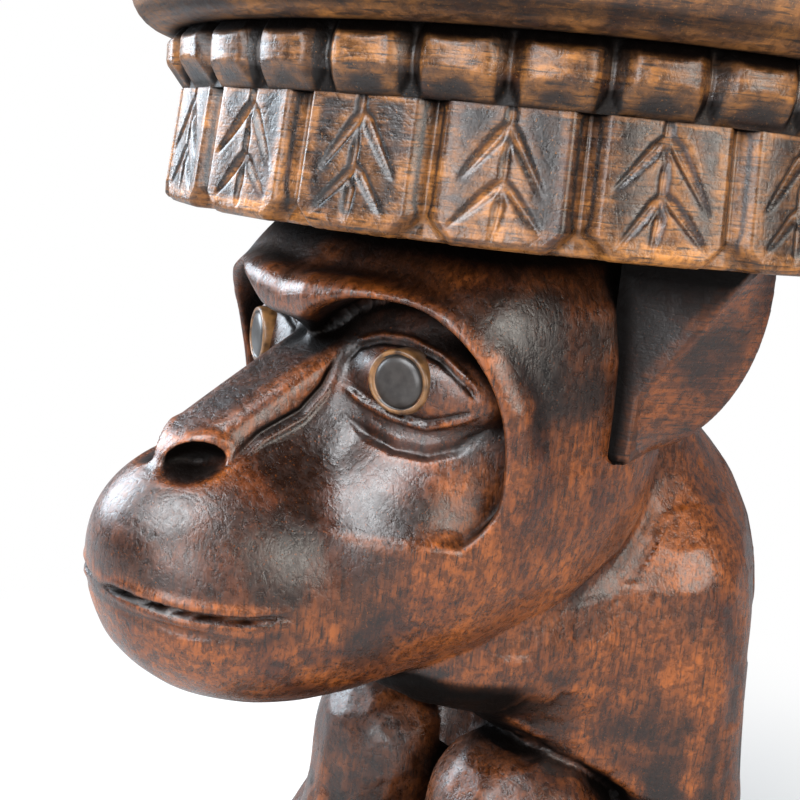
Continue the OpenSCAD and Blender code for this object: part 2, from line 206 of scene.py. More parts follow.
def recess(p):
    """The space under the brow, open to the front, down to the edge of the cheek"""
    x, z, wide, high, power, low = RECESS
    t = turned(p, FACE_MID, FACE_TURN)
    k = ((np.abs(t[:, 0] - x) / wide) ** power + (np.abs(t[:, 2] - z) / high) ** power) ** (1 / power)
    return np.maximum(np.maximum((k - 1) * wide, low - t[:, 2]), FACE_MID[1] - 34 - t[:, 1])


def brow_shape(p):
    """The rim of the brow, thick as a finger"""
    return np.min([limb(p, a, b, BROW_R, BROW_R) for a, b in zip(BROW[:-1], BROW[1:])], axis=0)


def head_shape(points, sunk=True):
    """Hood, cheeks, muzzle, eyeballs and nose, with the mask of the face sunk under the brow"""
    p = side_by_side(points)
    skull = carve(mass(p, *HOOD), -plane(p, *FOREHEAD), 14)
    skull = blend(blend(skull, mass(p, *SIDE), 14), mass(p, *JAW), 16)
    skull = blend(skull, near_only(p, brow_shape, (p[:, 1] > 50) & (p[:, 2] > 256)), 7)
    muzzle = blend(mass(p, *MUZZLE), mass(p, *LIP), 14)
    face = skull
    if sunk:
        face = carve(carve(skull, mass(p, *ROOT_HOLLOW), 3), recess(p), 3)
        face = blend(face, mass(turned(p, FACE_MID, FACE_TURN), *MASK), 3)
        face = blend(face, mass(turned(p, EYEBALL[0], -EYE_TURN), *EYEBALL), 4)
    face = blend(blend(face, muzzle, 12), mass(p, *CHEEK), 12)
    face = blend(face, limb(p, *SNOUT), 12)
    start, end, radius = NOSE
    nose = carve(limb(p, start, end, radius, radius), -plane(p, (19, 0, 0), (1, 0, 0)), 5)
    nose = carve(nose, -plane(p, *BRIDGE), 5)
    return blend(face, nose, 4)


def torso_shape(points):
    """Back, nape, chest, upper arms and thighs, with the hollow over the lap"""
    p = side_by_side(points)
    squat = p.copy()
    low = squat[:, 2] < SHOULDER_Z
    squat[low, 2] = (squat[low, 2] + SHOULDER_Z) / 2
    trunk = blend(mass(squat, *BACK), mass(p, *NAPE), 20)
    trunk = blend(trunk, mass(p, *CHEST), 18)
    centre, tilt, size, power = LAP
    c, s = math.cos(math.radians(tilt)), math.sin(math.radians(tilt))
    q = p - np.array(centre, np.float32)
    lap = np.stack([q[:, 0], q[:, 1] * c + q[:, 2] * s, q[:, 2] * c - q[:, 1] * s], 1)
    trunk = carve(trunk, mass(lap, (0, 0, 0), size, power), 8)
    trunk = blend(trunk, limb(p, (60, -42, 226), ELBOW, 28, 25), 20)
    return blend(trunk, limb(p, HIP, KNEE, 37, 35), 6)


def near_only(p, shape, inside):
    """A shape worked out only where it matters"""
    out = np.full(len(p), CLEAR, np.float32)
    if inside.any():
        out[inside] = shape(p[inside])
    return out


def leg_shape(points):
    """Knee and shin"""
    p = side_by_side(points)
    return blend(limb(p, HIP, KNEE, 37, 35), limb(p, KNEE, SHIN, 33, 24), 12)


def foot_shape(points):
    """Foot under its shin"""
    p = side_by_side(points)
    sole = mass(p, (41, 54, BASE), (24, 48, 26), 2.8)
    foot = blend(sole, limb(p, SHIN, (41, 42, 74), 24, 24), 10)
    return foot + 0.8 * np.maximum(p[:, 2] - ANKLE_Z, 0)


def forearm_shape(points):
    """Forearm and the hand laid on the base"""
    p = side_by_side(points)
    return blend(limb(p, ELBOW, WRIST, 25, 17), mass(p, *PALM), 8)


EAR_TURN = ((80, 36, 325), -24)


def ear_facet(t):
    """How far a place lies outside the ear's ridge, and how far in from its rim"""
    out = np.minimum((t[:, 0] - 106.5) * 0.834 - (t[:, 2] - 334.6) * 0.551, t[:, 0] - 91.5)
    inward = (1 - np.hypot((t[:, 0] - 80) / 46, (t[:, 2] - 350) / 64)) * 46
    return out, inward


def ear_shape(points):
    """Ear: a thick leaf set back from the cheek, its outer face worked down to a thin rim"""
    t = turned(side_by_side(points), *EAR_TURN)
    out, inward = ear_facet(t)
    leaf = np.maximum(-inward, np.maximum(t[:, 1] - 36, 6 - t[:, 1]))
    inward = np.maximum(inward, 0)
    facet = t[:, 1] - 8 - 28 * inward / (inward + np.maximum(out, 0) + 0.01)
    return np.maximum(leaf, np.where(out > 0, facet * 0.6, leaf))


def body_shape(p, sunk=True):
    """Head and trunk"""
    head = near_only(p, lambda q: head_shape(q, sunk), (p[:, 2] > 165) & (p[:, 1] > -40))
    return blend(head, torso_shape(p), 3)


def rough_figure(p):
    """The figure before the face is sunk under the brow"""
    return figure_shape(p, False)


def figure_shape(p, sunk=True):
    """The whole figure, as carved from one log"""
    low = p[:, 2] < 180
    legs = near_only(p, leg_shape, low & (p[:, 1] > -115))
    feet = near_only(p, foot_shape, (p[:, 2] < 85) & (p[:, 1] > -10))
    arms = near_only(p, forearm_shape, low & (np.abs(p[:, 0]) > 40))
    return blend(blend(body_shape(p, sunk), blend(legs, feet, 3), 3), arms, 2)


def crown_shape(p):
    """The crown and seat as plain discs, for the shade that they throw"""
    r = np.hypot(p[:, 0], p[:, 1])
    discs = [(CROWN, BEAD, 141.5), (BEAD, SEAT, 145), (SEAT, TOP, SEAT_R)]
    return np.min([np.maximum(np.maximum(low - p[:, 2], p[:, 2] - high), r - wide)
                   for low, high, wide in discs], axis=0)


def base_shape(p):
    """The base as a plain disc"""
    return np.maximum(p[:, 2] - BASE, np.hypot(p[:, 0], p[:, 1]) - BASE_R)


def stool_shape(p):
    """Everything, for the shade in the hollows"""
    parts = [figure_shape(p),
             np.maximum(ear_shape(p), EAR_X - np.abs(p[:, 0])), crown_shape(p), base_shape(p)]
    return np.min(parts, axis=0)


# Carving tools: they take and give points in millimetres


def to_wood(mesh_points):
    """Metres in the stool's frame to millimetres across, forward and up"""
    return mesh_points / MM * (1, -1, 1)


def to_mesh(points):
    """Millimetres across, forward and up to metres in the stool's frame"""
    return points * MM * (1, -1, 1)


def slope(points, shape, step=0.3):
    """Direction and steepness in which a shape's distance grows"""
    total = np.zeros_like(points)
    for corner in ((1, -1, -1), (-1, 1, -1), (-1, -1, 1), (1, 1, 1)):
        corner = np.array(corner, float)
        total += shape(points + step * corner)[:, None] * corner
    return total / (4 * step)


def settle(points, shape, rounds, reach=4.0):
    """Moves points along the slope until they lie on the surface"""
    for _ in range(rounds):
        g = slope(points, shape)
        move = shape(points) / np.maximum((g * g).sum(axis=1), LEAST_SLOPE)
        points = points - np.clip(move, -reach, reach)[:, None] * g
    return points


def sink(points, shape, aim):
    """Drives points that stand outside a shape straight along the aim until they lie on it"""
    out = shape(points) > 0.3
    p = points[out]
    for _ in range(40):
        p = p + np.clip(shape(p) * 0.8, -1, 6)[:, None] * np.array(aim, float)
    points[out] = p
    return points


def unit(vectors):
    """Vectors brought to length one"""
    return vectors / np.maximum(np.linalg.norm(vectors, axis=1), 1e-9)[:, None]


def neighbours_mean(points, edges):
    """Mean of each point's neighbours along the edges"""
    count = np.bincount(edges.ravel(), minlength=len(points)).clip(1)
    out = np.empty_like(points)
    for axis in range(3):
        out[:, axis] = (np.bincount(edges[:, 0], points[edges[:, 1], axis], len(points))
                        + np.bincount(edges[:, 1], points[edges[:, 0], axis], len(points))) / count
    return out


def even_out(points, edges, shape, rounds, picked=None):
    """Spreads points, or the picked ones, evenly over the surface"""
    picked = np.ones(len(points), bool) if picked is None else picked
    for _ in range(rounds):
        part = points[picked]
        g = slope(part, shape)
        n = unit(g)
        move = neighbours_mean(points, edges)[picked] - part
        part = part + 0.6 * (move - (move * n).sum(axis=1)[:, None] * n)
        off = shape(part) / np.maximum((g * g).sum(axis=1), LEAST_SLOPE)
        points[picked] = part - np.clip(off, -1, 1)[:, None] * g
    return points


def path_distance(points, path):
    """Distance to a bent line, and how far along it the nearest place lies, from 0 to 1"""
    path = np.array(path, float)
    legs = np.linalg.norm(np.diff(path, axis=0), axis=1)
    starts = np.concatenate([[0], np.cumsum(legs)]) / legs.sum()
    best, along = np.full(len(points), 1e9), np.zeros(len(points))
    for i, (a, b) in enumerate(zip(path[:-1], path[1:])):
        t = np.clip((points - a) @ (b - a) / ((b - a) @ (b - a)), 0, 1)
        d = np.linalg.norm(points - a - t[:, None] * (b - a), axis=1)
        nearer = d < best
        best = np.where(nearer, d, best)
        along = np.where(nearer, starts[i] + t * (starts[i + 1] - starts[i]), along)
    return best, along


def gouge(points, normals, path, width, depth, ends=0.25, sharp=True):
    """Cuts a groove along a path; a negative depth leaves a ridge. Both sides alike."""
    p = side_by_side(points)
    d, along = path_distance(p, path)
    taper = np.clip(np.minimum(along, 1 - along) / max(ends, 1e-3), 0, 1) ** 0.7 if ends else 1.0
    t = np.clip(1 - d / (width * np.maximum(taper, 0.3)), 0, 1)
    shape = t if sharp else t * t * (3 - 2 * t)
    return points - normals * (depth * taper * shape)[:, None]


# Mesh helpers


def mesh_points(bm):
    """The vertices of a bmesh as an array, in millimetres across, forward and up"""
    return to_wood(np.array([v.co[:] for v in bm.verts], float).reshape(-1, 3))


def place_points(bm, points):
    """Moves the vertices of a bmesh to points given in millimetres"""
    for vert, co in zip(bm.verts, to_mesh(points)):
        vert.co = co


def face_middles(bm):
    """The middles of the faces of a bmesh, in millimetres across, forward and up"""
    return to_wood(np.array([f.calc_center_median()[:] for f in bm.faces]))


def mesh_edges(bm):
    """The edges of a bmesh as pairs of vertex numbers"""
    bm.verts.index_update()
    return np.array([(e.verts[0].index, e.verts[1].index) for e in bm.edges])


def remeshed(bm, size):
    """The bmesh as one even skin of square faces of that size in millimetres"""
    mesh = bpy.data.meshes.new("blank")
    bm.to_mesh(mesh)
    bm.free()
    blank = bpy.data.objects.new("blank", mesh)
    bpy.context.scene.collection.objects.link(blank)
    even = blank.modifiers.new("Even skin", "REMESH")
    even.mode = "VOXEL"
    even.voxel_size = size * MM
    even.adaptivity = 0
    shown = blank.evaluated_get(bpy.context.evaluated_depsgraph_get())
    out = bmesh.new()
    out.from_mesh(shown.to_mesh())
    bpy.data.objects.remove(blank)
    bpy.data.meshes.remove(mesh)
    return out


def blank_of(balls, size):
    """One skin round balls given as centre and half sizes, both sides of the figure"""
    bm = bmesh.new()
    for centre, half in balls:
        for side in ((1, -1) if centre[0] else (1,)):
            place = Matrix.Translation(Vector(to_mesh(np.array(centre) * (side, 1, 1))))
            stretch = Matrix.Diagonal((*(np.array(half) * MM), 1))
            bmesh.ops.create_icosphere(bm, subdivisions=4, radius=1, matrix=place @ stretch)
    return remeshed(bm, size)


def carved(balls, shape, coarse, fine):
    """Blank carved down to a shape: remeshed twice, so the faces end up even"""
    bm = blank_of(balls, coarse)
    place_points(bm, settle(mesh_points(bm), shape, 14, 8))
    return smoothed(remeshed(bm, fine), shape)


def smoothed(bm, shape):
    """The bmesh with its points brought to the surface and spread evenly over it"""
    points = settle(mesh_points(bm), shape, 2)
    place_points(bm, even_out(points, mesh_edges(bm), shape, 4))
    return bm


def finer(bm, near, shape):
    """Splits the faces whose middle the test picks into four, and settles them again"""
    edges = {e for f, yes in zip(bm.faces, near(face_middles(bm))) if yes for e in f.edges}
    bmesh.ops.subdivide_edges(bm, edges=list(edges), cuts=1, use_grid_fill=True)
    points = mesh_points(bm)
    place_points(bm, even_out(points, mesh_edges(bm), shape, 5, near(points)))


def chop(points, normals, cell, depth, weight, rng):
    """Flattens the skin into chisel facets about as wide as the cell, where the weight is above zero"""
    cells = np.floor((points + rng.uniform(0, cell, 3)) / cell).astype(int)
    seeds = np.unique(cells, axis=0, return_index=True)[1]
    tree = kdtree.KDTree(len(seeds))
    for number in seeds:
        tree.insert(points[number], number)
    tree.balance()
    nearest = np.array([tree.find(p)[1] for p in points])
    n = normals[nearest]
    alike = (normals * n).sum(axis=1)
    off = ((points[nearest] - points) * n).sum(axis=1) / np.maximum(alike, 0.5) - 0.4 * depth
    keep = rise(alike, 0.75, 0.9) * weight
    return points + normals * (np.clip(off, -depth, depth) * keep)[:, None]


def saw(bm, point, normal, keep_front):
    """Saws through at a plane given in millimetres and caps the cut; keeps one side"""
    co = Vector(to_mesh(np.array(point, float)))
    no = Vector((normal[0], -normal[1], normal[2]))
    geom = list(bm.verts) + list(bm.edges) + list(bm.faces)
    cut = bmesh.ops.bisect_plane(bm, geom=geom, plane_co=co, plane_no=no, dist=1e-6,
                                 clear_outer=not keep_front, clear_inner=keep_front)
    edges = [e for e in cut["geom_cut"] if isinstance(e, bmesh.types.BMEdge)]
    bmesh.ops.holes_fill(bm, edges=edges, sides=0)


def poke(points, centre, aim, along, half, depth, lip):
    """Hollows an oval hole as deep as given with a lip over it; half is its size along and across.
    Both sides alike."""
    p = side_by_side(points)
    aim, along = unit(np.array([aim, along], float))
    across = np.cross(aim, along)
    q = p - centre
    k = np.sqrt((q @ along / half[0]) ** 2 + (q @ across / half[1]) ** 2)
    above = np.clip(0.5 + q @ across / half[1], 0, 1)
    into = depth * (above * np.clip(1 - k**3, 0, 1) + (1 - above) * np.clip(1.15 - k, 0, 1))
    into -= lip * np.clip(1 - np.abs(k - 1.3) / 0.35, 0, 1) * above * rise(p[:, 0], 3, 9)
    into *= np.abs(q @ aim) < 1.2 * half[0]
    side = np.where(points[:, 0] < 0, -1, 1)
    return points + into[:, None] * aim * np.stack([side, np.ones(len(p)), np.ones(len(p))], 1)


def is_corner(point, boxes, axes, wood):
    """Whether a point lies in the wood and where flats of the boxes meet across these axes: an odd number
    of the cells round it is in the boxes"""
    around = point + np.array(list(product(*((-0.5, 0.5) if axis in axes else (0,) for axis in range(3)))))
    filled = np.any([((around > a) & (around < b)).all(axis=1) for a, b in boxes], axis=0)
    spot = Vector(to_mesh(point))
    place, normal, *_ = wood.find_nearest(spot)
    return filled.sum() % 2 == 1 and (spot - place).dot(normal) < 0


def block(skin, boxes):
    """The part of a closed skin that lies in the boxes, given as low and high corners in millimetres.
    Each flat is closed, and meets its neighbours in straight corners."""
    bm = bmesh.new()
    bm.from_mesh(skin)
    wood = bvhtree.BVHTree.FromBMesh(bm)
    low = np.min([b[0] for b in boxes], axis=0) - 4
    high = np.max([b[1] for b in boxes], axis=0) + 4
    middles = face_middles(bm)
    out = ((middles < low) | (middles > high)).any(axis=1)
    bmesh.ops.delete(bm, geom=[f for f, gone in zip(bm.faces, out) if gone], context="FACES")
    flats = sorted({(axis, corner[axis]) for box in boxes for corner in box for axis in range(3)
                    if abs(corner[axis]) < FAR})
    for axis, at in flats:
        bmesh.ops.bisect_plane(bm, geom=list(bm.verts) + list(bm.edges) + list(bm.faces), dist=1e-7,
                               plane_co=to_mesh(np.full(3, float(at))), plane_no=np.eye(3)[axis] * (1, -1, 1))
    middles = face_middles(bm)
    kept = np.any([((middles >= a) & (middles <= b)).all(axis=1) for a, b in boxes], axis=0)
    bmesh.ops.delete(bm, geom=[f for f, yes in zip(bm.faces, kept) if not yes], context="FACES")

    def on(vert, axis, at):
        return abs(to_wood(np.array(vert.co))[axis] - at) < 0.01

    # Corners that lie inside the wood, then the lines from corner to corner, then the flats
    sides = [[at for along, at in flats if along == axis] for axis in range(3)]
    for corner in product(*sides):
        if is_corner(np.array(corner, float), boxes, (0, 1, 2), wood):
            bm.verts.new(to_mesh(np.array(corner, float)))
    rim = {v for v in bm.verts if v.is_boundary or not v.link_edges}
    lying = {flat: {v for v in rim if on(v, *flat)} for flat in flats}
    for i, first in enumerate(flats):
        for second in flats[i + 1:]:
            if first[0] != second[0]:
                third = 3 - first[0] - second[0]
                corner = sorted(lying[first] & lying[second], key=lambda v: v.co[third])
                for a, b in zip(corner, corner[1:]):
                    middle = to_wood(np.array((a.co + b.co) / 2))
                    if not bm.edges.get((a, b)) and is_corner(middle, boxes, (first[0], second[0]), wood):
                        bm.edges.new((a, b))
    # Twice, because a loop closes only when stray edges on it have been filled from the other side
    for flat in flats + flats:
        loop = [e for e in bm.edges if len(e.link_faces) < 2 and all(v in lying[flat] for v in e.verts)]
        if loop:
            bmesh.ops.edgeloop_fill(bm, edges=loop)
    return bm


def wear_marks(mesh, rubbed):
    """Stores how much each place stands out, how much painted shade the stool's own wood round it casts
    there, and how far hands have rubbed it; a rub mark below zero is not wear but adds painted shade"""
    count = len(mesh.vertices)
    flat = np.empty(count * 3)
    mesh.vertices.foreach_get("co", flat)
    points = to_wood(flat.reshape(-1, 3))
    mesh.vertex_normals.foreach_get("vector", flat)
    normals = unit(flat.reshape(-1, 3) * (1, -1, 1))
    edges = np.empty(len(mesh.edges) * 2, int)
    mesh.edges.foreach_get("vertices", edges)
    edges = edges.reshape(-1, 2)
    smooth = points
    for _ in range(24):
        smooth = neighbours_mean(smooth, edges)
    out = ((points - smooth) * normals).sum(axis=1)
    for _ in range(3):
        out = neighbours_mean(np.repeat(out[:, None], 3, 1), edges)[:, 0]
    # Painted shade: a place is darkened as far as the stool's wood lies before it along its normal, at four
    # reaches
    shade = np.zeros(count)
    for far in SHADE_REACH:
        shade += np.clip(1 - stool_shape(points + normals * far) / far, 0, 1) / len(SHADE_REACH)
    # A rub mark below zero adds painted shade where the light does not reach
    hand = rubbed(points)
    shade += np.clip(-hand, 0, 1)
    for name, values in (("stands_out", out), ("lies_deep", shade), ("rubbed", hand)):
        layer = mesh.attributes.new(name, "FLOAT", "POINT")
        layer.data.foreach_set("value", values.astype(np.float32))


def evenly(points):
    """Rubbed a little all over"""
    return np.full(len(points), 0.3)


def finish_piece(name, bm, material, nodes, wear=True, rubbed=evenly):
    """Turns a bmesh into a piece that rides on the stool and stands for its nodes"""
    if not bm.faces:
        raise RuntimeError(name + " came out without a face")
    mesh = bpy.data.meshes.new(name)
    bmesh.ops.recalc_face_normals(bm, faces=bm.faces)
    # Sawn flats have more than four corners
    for face in bm.faces:
        face.smooth = len(face.verts) < 5
    for edge in bm.edges:
        if len(edge.link_faces) == 2 and edge.calc_face_angle() > SHARP:
            edge.smooth = all(len(f.verts) < 5 for f in edge.link_faces)
    bm.to_mesh(mesh)
    bm.free()
    obj = bpy.data.objects.new(name, mesh)
    bpy.context.scene.collection.objects.link(obj)
    obj.data.materials.append(material)
    if wear:
        wear_marks(mesh, rubbed)
    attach(obj, "root")
    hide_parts(*nodes)
    return obj


# Finishes


def linear(hex_colour):
    """An sRGB hex colour as linear red, green, blue and alpha"""
    parts = [int(hex_colour[i:i + 2], 16) / 255 for i in (1, 3, 5)]
    return [c / 12.92 if c <= 0.04045 else ((c + 0.055) / 1.055) ** 2.4 for c in parts] + [1.0]


def put(tree, kind, inputs=None, **settings):
    """Adds a node with its settings; an input is a value, or a socket to link"""
    made = tree.nodes.new(kind)
    for name, value in settings.items():
        setattr(made, name, value)
    for key, value in (inputs or {}).items():
        if isinstance(value, bpy.types.NodeSocket):
            tree.links.new(value, made.inputs[key])
        else:
            made.inputs[key].default_value = value
    return made


def ramp(tree, fac, stops):
    """A colour ramp: stops are places from 0 to 1 with a linear colour or a grey value"""
    made = put(tree, "ShaderNodeValToRGB", {"Fac": fac})
    line = made.color_ramp
    while len(line.elements) < len(stops):
        line.elements.new(0.5)
    for element, (place, colour) in zip(line.elements, stops):
        element.position = place
        element.color = (colour, colour, colour, 1) if isinstance(colour, (int, float)) else colour
    return made.outputs["Color"]


def mix(tree, fac, a, b, blend_type="MIX"):
    """Mix of two colours"""
    made = put(tree, "ShaderNodeMix", {}, data_type="RGBA", blend_type=blend_type)
    for key, value in ((0, fac), (6, a), (7, b)):
        if isinstance(value, bpy.types.NodeSocket):
            tree.links.new(value, made.inputs[key])
        else:
            made.inputs[key].default_value = value
    return made.outputs[2]


def sums(tree, operation, a, b=0.0, c=0.0, clamp=False):
    """Arithmetic on numbers"""
    made = put(tree, "ShaderNodeMath", {0: a, 1: b, 2: c}, operation=operation, use_clamp=clamp)
    return made.outputs[0]


def bare_material(name):
    """A material without nodes, and its node tree"""
    mat = bpy.data.materials.new(name)
    mat.use_nodes = True
    mat.node_tree.nodes.clear()
    return mat, mat.node_tree


def waxed_wood(name, grain, stains, rub=1.0, facet=0.35, gloss=0.27, hollows=0.0, worn=True):
    """Mahogany, stained near black, waxed and rubbed back: streaked grain, ochre where hands wear it, painted
    shade in the hollows and under overhangs, shallow gouge facets and a soft sheen. rub is how far the stain
    is rubbed off, facet the strength of the gouge marks, gloss the roughness of the wax, hollows how bare the
    grooves are;
    without wear the colour keeps to clouds."""
    mat, tree = bare_material(name)
    place = put(tree, "ShaderNodeTexCoord").outputs["Object"]
    dark, mid, warm, ochre = stains

    def noise(vector, per_metre, detail, rough=0.55, warp=0.0):
        return put(tree, "ShaderNodeTexNoise", {"Vector": vector, "Scale": per_metre, "Detail": detail,
                                                "Roughness": rough, "Distortion": warp}).outputs["Fac"]

    def stretched(along):
        scale = tuple(1.0 if across else along for across in grain)
        return put(tree, "ShaderNodeMapping", {"Vector": place, "Scale": scale}).outputs["Vector"]

    def step(value, low, high, to_low=0.0, to_high=1.0):
        return put(tree, "ShaderNodeMapRange", {"Value": value, "From Min": low, "From Max": high,
                                                "To Min": to_low, "To Max": to_high},
                   interpolation_type="SMOOTHSTEP").outputs["Result"]

    def shares(*fields):
        total = 0.0
        for field, share in fields:
            total = sums(tree, "MULTIPLY_ADD", field, share, total)
        return total

    # Streaks 1.5 mm wide and 25 mm long, broad bands 7 mm wide, pores 0.6 mm by 7 mm; clouds of stain
    # 30 mm and worn patches 70 mm wide, coarser than any grain; mottling 3 mm, pits and grit 1 mm, the grit's
    # ochre flecks partly painted glints
    streak = noise(stretched(0.06), 600, 6, 0.62, 0.5)
    band = noise(stretched(0.16), 130, 3, 0.5, 1.2)
    pore = noise(stretched(0.09), 1300, 2, 0.5)
    cloud = noise(place, 34, 3, 0.5, 0.6)
    patch = noise(place, 14, 4, 0.55, 0.8)
    fine = noise(place, 300, 5, 0.65, 0.4)
    pit = noise(place, 800, 3, 0.6)
    grit_and_glints = noise(place, 1100, 2, 0.6)

    if worn:
        # deep holds the painted shade mark, hand the rub mark, which is below zero where it adds painted
        # shade
        out, deep, hand = (put(tree, "ShaderNodeAttribute", attribute_name=mark).outputs["Fac"]
                           for mark in ("stands_out", "lies_deep", "rubbed"))
        edge = sums(tree, "MULTIPLY_ADD", step(out, -0.1, -0.5), hollows, step(out, 0.04, 0.42))
        # The painted shade mark turns into painted shade: near black where the wood round a place hides it
        # from the light
        cut = step(deep, 0.32, 0.78)
    else:
        hand = 0.5
        edge = sums(tree, "MULTIPLY", cloud, 0.2)
        cut = sums(tree, "MULTIPLY", patch, 0.1)

    # The stain lies in clouds and follows the grain; red wood glows through where it is thin
    tone = shares((cloud, 0.6), (streak, 0.2), (band, 0.2))
    tone = ramp(tree, tone, [(0.36, dark), (0.52, mid), (0.70, warm)])
    bare = step(shares((patch, 0.65), (cloud, 0.35), (hand, 0.34)), 0.52, 0.84)
    breakup = step(shares((fine, 0.65), (streak, 0.35)), 0.40, 0.60)
    rubbed = sums(tree, "MULTIPLY_ADD", edge, 0.7, sums(tree, "MULTIPLY", bare, 0.95), clamp=True)
    rubbed = sums(tree, "MULTIPLY", rubbed, sums(tree, "MULTIPLY_ADD", breakup, 0.5, 0.5))
    rubbed = sums(tree, "MULTIPLY", rubbed, rub, clamp=True)
    gold = ramp(tree, shares((streak, 0.35), (cloud, 0.65)), [(0.38, warm), (0.62, ochre)])
    colour = mix(tree, rubbed, tone, gold)
    colour = mix(tree, 1.0, colour, ramp(tree, fine, [(0.36, 0.6), (0.60, 1.0)]), "MULTIPLY")
    colour = mix(tree, ramp(tree, pore, [(0.32, 0.8), (0.44, 0.0)]), colour, dark)
    # Ochre flecks of grit: partly wood showing through, partly painted glints
    colour = mix(tree, ramp(tree, grit_and_glints, [(0.64, 0.0), (0.72, 0.35)]), colour, ochre)
    # Painted shade: near black where the painted shade mark is high
    colour = mix(tree, cut, colour, linear("#070403"))
    # The sheen and the coat are taken off in the painted shade too
    unshaded = sums(tree, "SUBTRACT", 1.0, sums(tree, "MULTIPLY", cut, 0.9), clamp=True)
    rough = step(fine, 0.3, 0.7, gloss - 0.08, gloss + 0.12)
    rough = sums(tree, "ADD", rough, sums(tree, "MULTIPLY", cut, 0.25), clamp=True)

    # Relief: gouge marks 10 to 16 mm wide, grain ripples, scratches and pores; strength and depth in mm
    chip = put(tree, "ShaderNodeTexVoronoi", {"Vector": place, "Scale": 72, "Smoothness": 0.25},
               feature="SMOOTH_F1").outputs["Distance"]
    crossed = put(tree, "ShaderNodeMapping", {"Vector": place, "Scale": (0.25, 1.0, 0.7),
                                              "Rotation": (0.5, 0.3, 0.8)}).outputs["Vector"]
    scratch = put(tree, "ShaderNodeTexVoronoi", {"Vector": crossed, "Scale": 60},
                  feature="DISTANCE_TO_EDGE").outputs["Distance"]
    scratch = ramp(tree, scratch, [(0.0, 0.0), (0.015, 1.0)])
    bump = put(tree, "ShaderNodeBump", {"Strength": facet, "Distance": 0.9 * MM, "Height": chip})
    for strength, depth, field in ((0.9, 0.42, fine), (0.8, 0.16, pit), (0.6, 0.15, streak),
                                   (0.7, 0.12, pore), (0.3, 0.12, scratch)):
        bump = put(tree, "ShaderNodeBump", {"Strength": strength, "Distance": depth * MM, "Height": field,
                                            "Normal": bump.outputs["Normal"]})
    shader = put(tree, "ShaderNodeBsdfPrincipled", {
        "Base Color": colour, "Roughness": rough, "IOR": 1.5,
        "Specular IOR Level": sums(tree, "MULTIPLY", unshaded, 0.65),
        "Coat Weight": sums(tree, "MULTIPLY", unshaded, 0.22), "Coat Roughness": gloss - 0.02,
        "Normal": bump.outputs["Normal"]})
    put(tree, "ShaderNodeOutputMaterial", {"Surface": shader.outputs["BSDF"]})
    return mat


def eye_polish(name, low, high):
    """Fine hard wood, burnished: an even colour with a dull shine"""
    mat, tree = bare_material(name)
    place = put(tree, "ShaderNodeTexCoord").outputs["Object"]
    cloud = put(tree, "ShaderNodeTexNoise", {"Vector": place, "Scale": 240, "Detail": 5}).outputs["Fac"]
    colour = ramp(tree, cloud, [(0.35, low), (0.65, high)])
    bump = put(tree, "ShaderNodeBump", {"Strength": 0.3, "Distance": 0.2 * MM, "Height": cloud})
    shader = put(tree, "ShaderNodeBsdfPrincipled", {
        "Base Color": colour, "Roughness": 0.38, "Coat Weight": 0.3, "Coat Roughness": 0.25,
        "Normal": bump.outputs["Normal"]})
    put(tree, "ShaderNodeOutputMaterial", {"Surface": shader.outputs["BSDF"]})
    return mat


def stage_paint(name, shade):
    """Matt pale studio board; past the stool's shadow the camera sees it white"""
    mat, tree = bare_material(name)
    seen = put(tree, "ShaderNodeLightPath").outputs["Is Camera Ray"]
    board = put(tree, "ShaderNodeBsdfPrincipled", {
        "Roughness": 0.9, "Base Color": ramp(tree, seen, [(0.0, shade / 2), (1.0, shade)])})
    white = put(tree, "ShaderNodeEmission", {"Color": (1, 1, 1, 1), "Strength": 1.0})
    place = put(tree, "ShaderNodeTexCoord").outputs["Object"]
    far = put(tree, "ShaderNodeVectorMath", {0: place}, operation="LENGTH").outputs["Value"]
    far = put(tree, "ShaderNodeMapRange", {"Value": far, "From Min": 0.12, "From Max": 0.55},
              interpolation_type="SMOOTHSTEP").outputs["Result"]
    both = put(tree, "ShaderNodeMixShader", {0: sums(tree, "MULTIPLY", far, seen), 1: board.outputs[0],
                                             2: white.outputs[0]})
    put(tree, "ShaderNodeOutputMaterial", {"Surface": both.outputs[0]})
    return mat


def tint(name, description, hex_colour):
    """A colour property, given by its sRGB hex value"""
    return FloatVectorProperty(name=name, description=description, default=linear(hex_colour), size=4,
                               min=0.0, max=1.0, subtype="COLOR")


def stains(context, part):
    """The four colours of a part's wood, from the stain in the cuts to the wood rubbed bare"""
    return [tuple(getattr(context.scene.stool, f"{part}_{shade}"))
            for shade in ("dark", "brown", "red", "ochre")]


